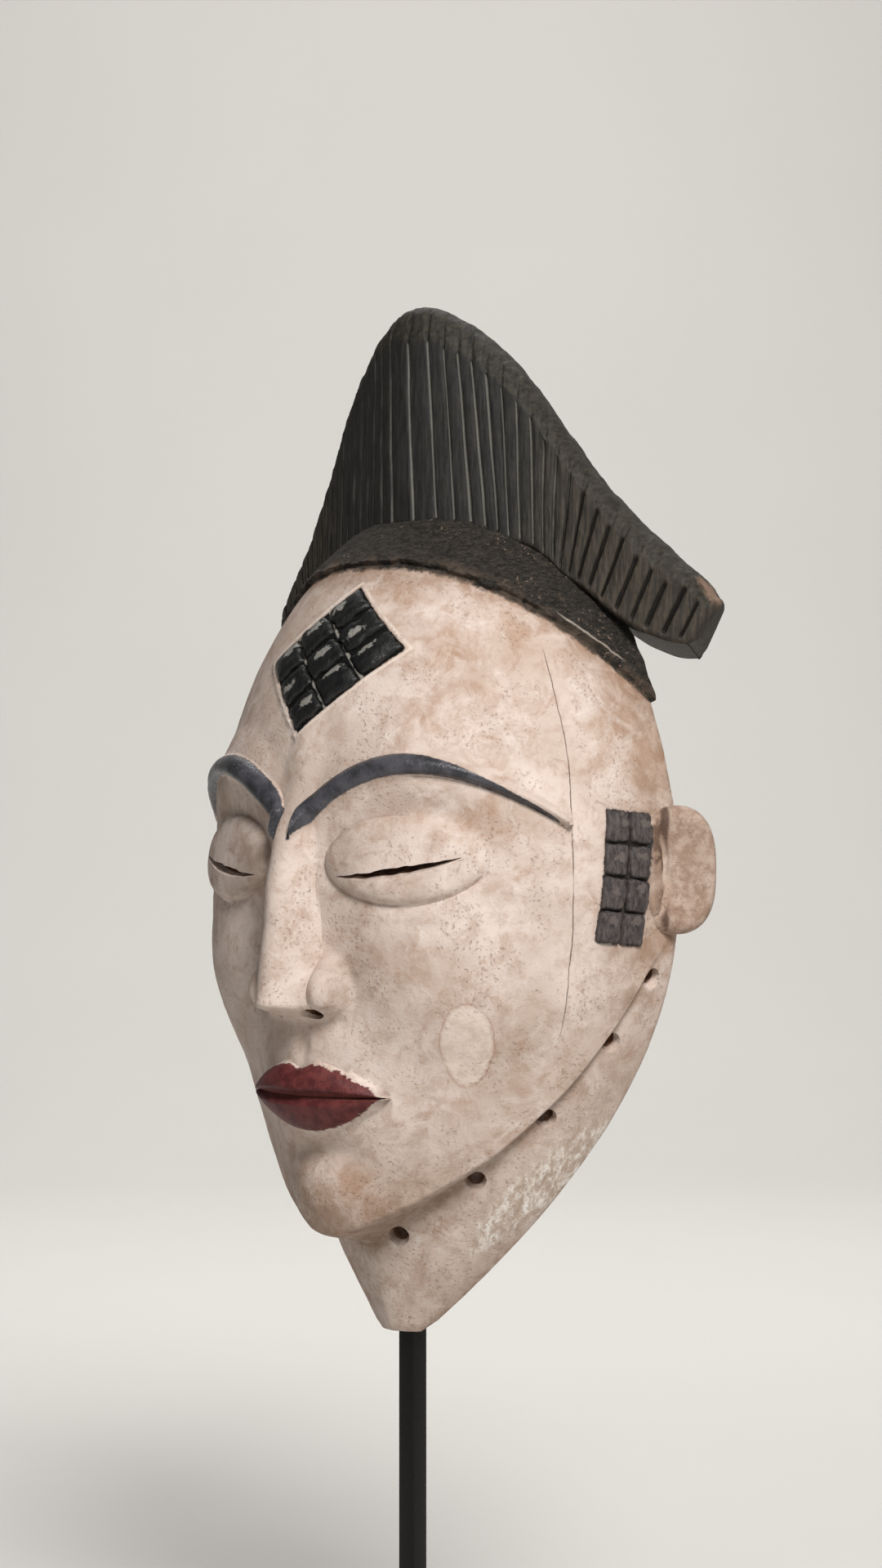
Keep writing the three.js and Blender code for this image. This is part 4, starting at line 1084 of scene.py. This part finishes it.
def painted_head():
    m = Shader("painted_wood", 0.3)
    mottle = m.noise(6.5, 6, 0.7, 0.4, 3)
    fine = m.noise(0.8, 3, 0.6, 0, 5)
    blotch = m.noise(13, 6, 0.68, 0.8, 7)
    angle, level, hairline_away = m.read("angle"), m.read("level"), m.read("hair")
    # The tan layer: darker towards the chin and the sides, with painted shade on the far side of the face
    tan = m.times(m.read("tan"), m.step(blotch, 0.7, 0.36, 0.8, 1.6))
    stained = m.times(m.read("stain"), m.step(blotch, 0.66, 0.34), m.step(mottle, 0.3, 0.6, 0.55, 1.2))
    # Soft brown clouds, a darker stipple of pores, painted shade in the folds, along the mouth and beside
    # the nose, and dirt below the hairline
    cloud = m.step(m.noise(9, 5, 0.7, 0.9, 11), 0.56, 0.7, 0, 0.42)
    pores = m.step(m.noise(0.95, 2, 0.5, 0, 23), 0.6, 0.68)
    pores = m.times(pores, m.step(m.noise(14, 3, 0.6, 0, 2), 0.4, 0.62))
    specks = m.step(m.noise(1.7, 3, 0.6, 0, 17), 0.72, 0.78)
    grime = m.times(m.read("grime"), m.step(mottle, 0.25, 0.6, 0.5, 1), 0.62)
    under_hair = m.times(m.step(hairline_away, -11, -0.6), m.step(mottle, 0.3, 0.6, 0.25, 0.8))
    # A painted highlight along the raised lip round the forehead squares
    rim = m.step(m.size(m.plus(m.read("forehead_patch"), 0.7)), 0.7, 0.1)
    # The oval where a label or a knot was, and its faint edge
    oval = m.plus(m.read("oval"), m.stray(0.3, m.noise(4, 3)))
    oval_face = m.times(m.step(oval, 1.02, 0.88), m.step(mottle, 0.3, 0.65, 0.55, 0.3))
    oval_edge = m.times(m.step(m.size(m.plus(oval, -1.03)), 0.055, 0), m.step(blotch, 0.3, 0.55), 0.45)
    # Scraped white ground on the collar
    scratchy = m.noise(2.2, 6, 0.75, 0.3, 9, (1, 1, 0.35))
    scraped = m.times(m.read("scrape"), m.plus(m.noise(7, 6, 0.75, 0.6, 19), 0.3))
    scraped = m.step(scraped, 0.2, 0.62)
    # Ears: pale, with brown dirt on the rolled edge, and painted shade with dirt in the crease behind it
    ear, ear_across = m.read("ear"), m.read("ear_across")
    dirt = m.noise(4.5, 5, 0.7, 0, 13)
    rolled = m.step(m.plus(ear_across, m.stray(3, dirt)), -3.6, -5)
    crease = m.step(m.size(m.plus(ear_across, 3.9, m.stray(2.5, dirt))), 1.8, 0.6)
    # The long fine crack down the side, 60 to 62 degrees round
    bent = m.plus(angle, m.stray(2.6, m.noise(26, 3)), m.stray(0.35, m.noise(2.5, 2)))
    off = m.size(m.plus(bent, m.step(level, 165, 205, -62.5, -59.5)))
    in_span = m.times(m.step(level, 200, 192), m.step(level, 84, 100))
    crack = m.times(m.step(off, 0.14, 0.03), in_span, m.step(m.noise(7, 3, 0.55, 0, 31), 0.3, 0.55, 0.2, 1))
    clay = m.layers(
        m.tones(m.noise(26, 4, 0.6), 0.34, 0.66, (191, 173, 161), (212, 197, 188)),
        (m.step(mottle, 0.44, 0.66, 0, 0.62), (174, 149, 133)),
        (m.step(blotch, 0.54, 0.7, 0, 0.5), (222, 212, 205)),
        (m.lowest(tan, 0.9), m.tones(mottle, 0.35, 0.62, (174, 151, 135), (142, 118, 100))),
        (m.lowest(stained, 0.85), (158, 124, 98)),
        (cloud, (156, 120, 97)),
        (m.times(pores, 0.38), (142, 110, 93)),
        (m.times(specks, 0.4), (110, 80, 64)),
        (m.lowest(grime, 0.8), (118, 98, 81)),
        (under_hair, (142, 112, 90)),
        (m.times(rim, m.step(mottle, 0.3, 0.6), 0.6), (236, 224, 212)),
        (oval_face, (234, 220, 208)),
        (oval_edge, (150, 110, 82)),
        (m.times(scraped, 0.9), m.tones(scratchy, 0.4, 0.66, (178, 158, 142), (242, 236, 230))),
        (m.times(ear, 0.85), m.tones(dirt, 0.36, 0.6, (176, 156, 143), (142, 117, 101))),
        (m.times(rolled, ear, 0.85), m.tones(dirt, 0.4, 0.58, (142, 116, 98), (84, 63, 51))),
        (m.times(crease, ear, 0.9), (74, 53, 41)),
        (m.times(crack, 0.7), (100, 70, 56)),
    )
    # Painted parts with ragged edges
    ragged = m.stray(2.4, m.noise(1.4, 4, 0.65, 0, 29))
    hair_edge = m.plus(hairline_away, ragged, m.stray(3, m.noise(7, 3)))
    hair = m.step(hair_edge, -2.7, -1.2)
    brow, lips, patch, temple, inside = (
        m.step(m.plus(m.read(name), m.times(ragged, amount)), start, end)
        for name, amount, start, end in (
            ("brow", 0.3, 0.05, 0.45), ("lips", 0.85, 0, 0.35), ("forehead_patch", 0.4, 0, 0.4),
            ("temple_patch", 0.8, -0.2, 0.5), ("inside", 0.4, -0.2, 0.5),
        )
    )
    lip_tone = m.tones(m.noise(3, 4, 0.6), 0.35, 0.7, (78, 32, 34), (108, 52, 50))
    line = m.step(m.size(m.plus(m.read("parting"), ragged)), 1.3, 0.2, 0, 0.35)
    streaks = m.noise(2.2, 7, 0.8, 0.9, 4, (1, 1, 2.4))
    flecks = m.step(m.noise(1.2, 3, 0.6, 0, 37), 0.6, 0.68)
    flecks = m.times(flecks, m.step(m.noise(10, 2, 0.55, 0, 5.5), 0.48, 0.62))
    stroke = m.size(m.plus(hairline_away, m.stray(1.2, m.noise(8, 2)), -2.4))
    stroke = m.times(m.step(stroke, 0.62, 0.3), m.step(angle, 65, 68), m.step(angle, 83, 80))
    hair_tone = m.layers(
        m.tones(streaks, 0.4, 0.62, (30, 28, 26), (74, 68, 61)),
        (m.times(flecks, 0.7), (168, 142, 124)),
        (m.times(m.step(hair_edge, 4.5, -0.5), m.step(mottle, 0.44, 0.6, 0, 0.7)), (112, 96, 82)),
        (m.times(stroke, 0.9), (182, 170, 158)),
    )
    # Pale lines in the upright gaps between the forehead squares: a painted highlight for light falling on
    # the squares' sides
    column = m.step(m.size(m.plus(m.size(m.read("patch_u")), -6.3)), 0.55, 0.3)
    column = m.times(column, m.step(fine, 0.3, 0.5, 0.3, 0.9))
    wood = m.noise(3, 5, 0.6, 0.4, 8, (1, 1, 0.12))
    colour = m.layers(
        clay,
        (brow, m.tones(m.noise(6, 4, 0.6), 0.35, 0.65, (50, 50, 54), (78, 77, 83))),
        (lips, m.blend(line, lip_tone, (140, 92, 80))),
        (hair, hair_tone),
        (patch, m.blend(column, (18, 18, 17), (150, 146, 138))),
        (temple, m.blend(m.step(mottle, 0.5, 0.62, 0, 0.4), (30, 26, 26), (96, 84, 78))),
        (inside, m.tones(wood, 0.35, 0.66, (84, 56, 38), (128, 92, 64))),
    )
    gloss = m.plus(m.times(brow, -0.42), m.times(lips, -0.16), m.times(patch, -0.25))
    rough = m.plus(0.7, m.stray(0.25, mottle), gloss)
    height = m.plus(
        m.times(mottle, 0.7), m.times(fine, 0.45), m.times(blotch, 0.3), m.times(crack, -2),
        m.times(specks, -0.8), m.times(pores, -0.5), m.times(hair, streaks, 4.5),
        m.times(inside, wood, 1.2), m.times(scraped, scratchy),
    )
    return m.finish(colour, rough, height, 0.4, 0.85)


# The crest's paint: near black in the middle as painted shade, with pale cuts; browner on its arms as
# painted light, their cuts painted dark as shade, and rubbed bare near the ends
def black_crest():
    m = Shader("black_wood", 0.25)
    grain = m.noise(1, 5, 0.7, 0.15, 2, (1, 1, 0.1))
    broad = m.noise(13, 4, 0.6, 0, 4)
    strokes = m.noise(1.5, 5, 0.7, 0.3, 6, (1, 0.3, 1))
    # Nearly black in the middle as painted shade, browner towards the arms as painted light
    arm = m.step(m.plus(m.read("span"), m.stray(0.3, broad)), 0.36, 0.66)
    dark = m.tones(grain, 0.36, 0.68, (29, 29, 28), (47, 46, 44))
    brown = m.tones(grain, 0.36, 0.68, (40, 37, 32), (70, 63, 54))
    top = m.read("top")
    bare = m.plus(m.read("bare"), m.stray(9, m.noise(4, 4, 0.65)))
    tone = m.layers(
        m.blend(arm, dark, brown),
        # Cuts pale in the middle, and painted dark as shade on the arms
        (m.step(m.read("cut"), 0.2, 0.6, 0, 0.85), m.tones(arm, 0.3, 0.9, (108, 106, 100), (14, 13, 12))),
        (m.times(top, 0.85), m.tones(strokes, 0.36, 0.66, (32, 30, 26), (60, 56, 48))),
        (m.step(bare, 7, 3.5, 0, 0.6), (156, 128, 108)),
    )
    height = m.plus(grain, m.times(m.noise(2.4, 4, 0.6), 0.8), m.times(top, strokes, 0.8))
    return m.finish(tone, m.plus(0.52, m.times(broad, 0.2)), height)


def dark_squares(name, low, high, worn_tone, rough, wear):
    m = Shader(name, 0.4)
    grain = m.noise(1.2, 5, 0.7, 0.2, 3, (1, 1, 0.4))
    patchy = m.noise(2.6, 5, 0.7, 0.7, 6)
    rubbed = m.step(m.plus(m.read("worn_away"), m.stray(2.6, patchy)), 0.3, 0.42, 0, wear)
    tone = m.layers(
        m.tones(grain, 0.36, 0.66, low, high),
        (rubbed, m.tones(grain, 0.4, 0.6, worn_tone, high)),
        (m.times(rubbed, 0.75), worn_tone),
    )
    height = m.plus(grain, m.times(patchy, 0.8), m.times(rubbed, -0.5))
    return m.finish(tone, m.plus(rough - 0.1, m.times(patchy, 0.25), m.times(rubbed, 0.2)), height)


def lacquered_steel():
    m = Shader("black_lacquer", 0.25)
    dust = m.noise(5, 5, 0.65, 0, 2)
    return m.finish(m.tones(dust, 0.45, 0.75, (9, 9, 9), (18, 17, 16)), m.step(dust, 0.35, 0.75, 0.24, 0.4))


# A steel bar or plate with rounded edges
def rounded_box(name, low, high, radius, material):
    low, high = np.array(low, float), np.array(high, float)
    centre, half = (low + high) / 2, (high - low) / 2
    bend = np.linspace(0, math.pi / 2, 6)
    turn = np.concatenate([bend + math.pi / 2 * quarter for quarter in range(4)])
    corners = np.repeat([[1, 1], [-1, 1], [-1, -1], [1, -1]], len(bend), axis=0)
    hubs = centre[:2] + corners * (half[:2] - radius)
    inset, rise = radius * (1 - np.cos(bend)), radius * (1 - np.sin(bend))
    side = np.linspace(low[2] + radius, high[2] - radius, 25)[1:-1]
    profile = [*zip(inset, low[2] + rise)][::-1] + [(0, z) for z in side] + [*zip(inset, high[2] - rise)]
    rings = []
    for inward, z in profile:
        flat = hubs + max(radius - inward, 0.02) * stack(np.cos(turn), np.sin(turn))
        rings.append(stack(*flat.T, z))
    made = closed_mesh(name, *loft(np.array(rings)))
    finish_surface(made, material, 35)
    return made


def build_object():
    head = solid("carved_head", head_rings())
    ears = [shape(side) for shape in (ear_rings, roll_rings) for side in (-1, 1)]
    carve(head, "UNION", [solid("ear", rings) for rings in ears])
    half = ROD_SIDE / 2 + CLEARANCE
    channel = box_rings([-half, ROD_DEPTH - half, -20], [half, 40, WIDEST_LEVEL / 2])
    cutters = [hollow_rings(), channel]
    for side in (-1, 1):
        cutters += [slit_rings(side), nostril(side)] + [tie_hole(side * angle) for angle in TIE_HOLE_ANGLES]
    carve(head, "DIFFERENCE", [solid("cutter", rings) for rings in cutters])
    head_attributes(head)
    finish_surface(head, painted_head(), 50)

    rings, cuts, tops = crest_rings()
    crest = solid("grooved_crest", rings)
    carve(crest, "DIFFERENCE", [solid("cutter", hollow_rings())])
    crest_attributes(crest, rings, cuts, tops)
    finish_surface(crest, black_crest(), 55)

    squares = [build_squares("forehead_squares", FOREHEAD_PATCH, 1, 100)]
    for side, name in ((1, "left"), (-1, "right")):
        squares.append(build_squares(f"temple_squares_{name}", TEMPLE_PATCH, side, 200 + side))
    black = dark_squares("forehead_black", (14, 15, 15), (30, 31, 30), (138, 136, 130), 0.34, 1)
    slate = dark_squares("temple_slate", (46, 42, 43), (86, 78, 76), (112, 102, 98), 0.62, 0.4)
    for patch, material in zip(squares, (black, slate, slate)):
        finish_surface(patch, material, 50)

    steel = lacquered_steel()
    half = ROD_SIDE / 2
    top = TIP_HEIGHT + CROSSBAR_LEVEL
    node_low, node_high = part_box("stand_rod")
    reach = node_high[0] / MM
    wide = FOOT_WIDTH / 2
    bars = {
        "square_rod": ([-half, -half, FOOT_THICKNESS + CLEARANCE], [half, half, top], ROD_ROUNDING),
        "crossbar": ([-reach, -half, top - ROD_SIDE], [reach, half, top], ROD_ROUNDING),
        "square_foot": ([-wide, -wide, 0], [wide, wide, FOOT_THICKNESS], FOOT_ROUNDING),
    }
    rod, crossbar, foot = (rounded_box(name, *bar, steel) for name, bar in bars.items())

    for piece in (head, crest, *squares):
        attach(piece, "root")
        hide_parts("mask")
    for piece, node in ((rod, "stand_rod"), (crossbar, "stand_rod"), (foot, "stand_foot")):
        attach(piece, "root")
        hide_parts(node)


# A pale sweep of paper under and behind the object, facing the camera
def build_stage():
    m = Shader("pale_paper")
    paper = m.finish(m.blend(m.noise(300, 2), (214, 212, 208), (220, 218, 214)), 0.85)
    azimuth = math.radians(CAMERA_AZIMUTH)
    away = np.array([-math.sin(azimuth), math.cos(azimuth), 0])
    side = np.array([math.cos(azimuth), math.sin(azimuth), 0])
    path = [(-PAPER_FRONT, 0)] + [(d, 0) for d in np.linspace(-PAPER_FRONT / 2, PAPER_BACK, 8)]
    for a in np.linspace(0, math.pi / 2, 16)[1:]:
        path.append((PAPER_BACK + PAPER_BEND * math.sin(a), PAPER_BEND * (1 - math.cos(a))))
    path.append((PAPER_BACK + PAPER_BEND, PAPER_TOP))
    edges = (-PAPER_HALF_WIDTH, 0, PAPER_HALF_WIDTH)
    points = [away * d + side * s + [0, 0, z - PAPER_DROP] for d, z in path for s in edges]
    cells = [i * 3 + j for i in range(len(path) - 1) for j in range(2)]
    sweep = new_mesh("paper_sweep", points, [[a, a + 1, a + 4, a + 3] for a in cells])
    finish_surface(sweep, paper, 60)
    sweep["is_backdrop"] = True


def area_light(name, azimuth, elevation, distance, size, watts, tint, aim=LIT_MIDDLE):
    a, e = math.radians(azimuth), math.radians(elevation)
    way = Vector((math.sin(a) * math.cos(e), -math.cos(a) * math.cos(e), math.sin(e)))
    data = bpy.data.lights.new(name, "AREA")
    data.shape = "DISK"
    data.size = size
    data.energy = watts
    data.color = tint
    lamp = add_object(name, data)
    lamp.location = Vector(LIT_MIDDLE) + distance * way
    lamp.rotation_euler = (Vector(aim) - lamp.location).to_track_quat("-Z", "Y").to_euler()


def build_lights():
    area_light("key", 57, 36, 1.3, 0.45, 20, (1, 0.975, 0.945))
    area_light("fill", 5, 8, 2, 1.4, 0.7, (0.95, 0.97, 1))
    area_light("top", 140, 62, 1.6, 0.9, 3, (1, 0.98, 0.95))
    area_light("paper_light", 222, 50, 1.5, 1.2, 20, (1, 0.99, 0.97), (-1, 1.1, 0.5))
    world = bpy.data.worlds.new("room")
    world.use_nodes = True
    room = world.node_tree.nodes["Background"].inputs
    room["Color"].default_value = (0.86, 0.87, 0.9, 1)
    room["Strength"].default_value = 0.095
    bpy.context.scene.world = world
    bpy.context.scene.view_settings.view_transform = "Standard"


def build_camera():
    data = bpy.data.cameras.new("camera")
    data.sensor_fit = "VERTICAL"
    data.sensor_height = PICTURE_HEIGHT_MM
    data.lens = LENS_MM
    data.clip_start = 0.05
    data.clip_end = 30
    azimuth = math.radians(CAMERA_AZIMUTH)
    back = Vector((math.sin(azimuth), -math.cos(azimuth), 0))
    camera = add_object("camera", data)
    camera.location = Vector(CAMERA_TARGET) + back * CAMERA_DISTANCE
    camera.rotation_euler = (-back).to_track_quat("-Z", "Y").to_euler()
    bpy.context.scene.camera = camera


build_object()
build_stage()
build_lights()
build_camera()

new_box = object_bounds()
sizes = {
    name: [list(map(float, corner)) for corner in box]
    for name, box in (("cad", cad_box), ("visual", new_box))
}
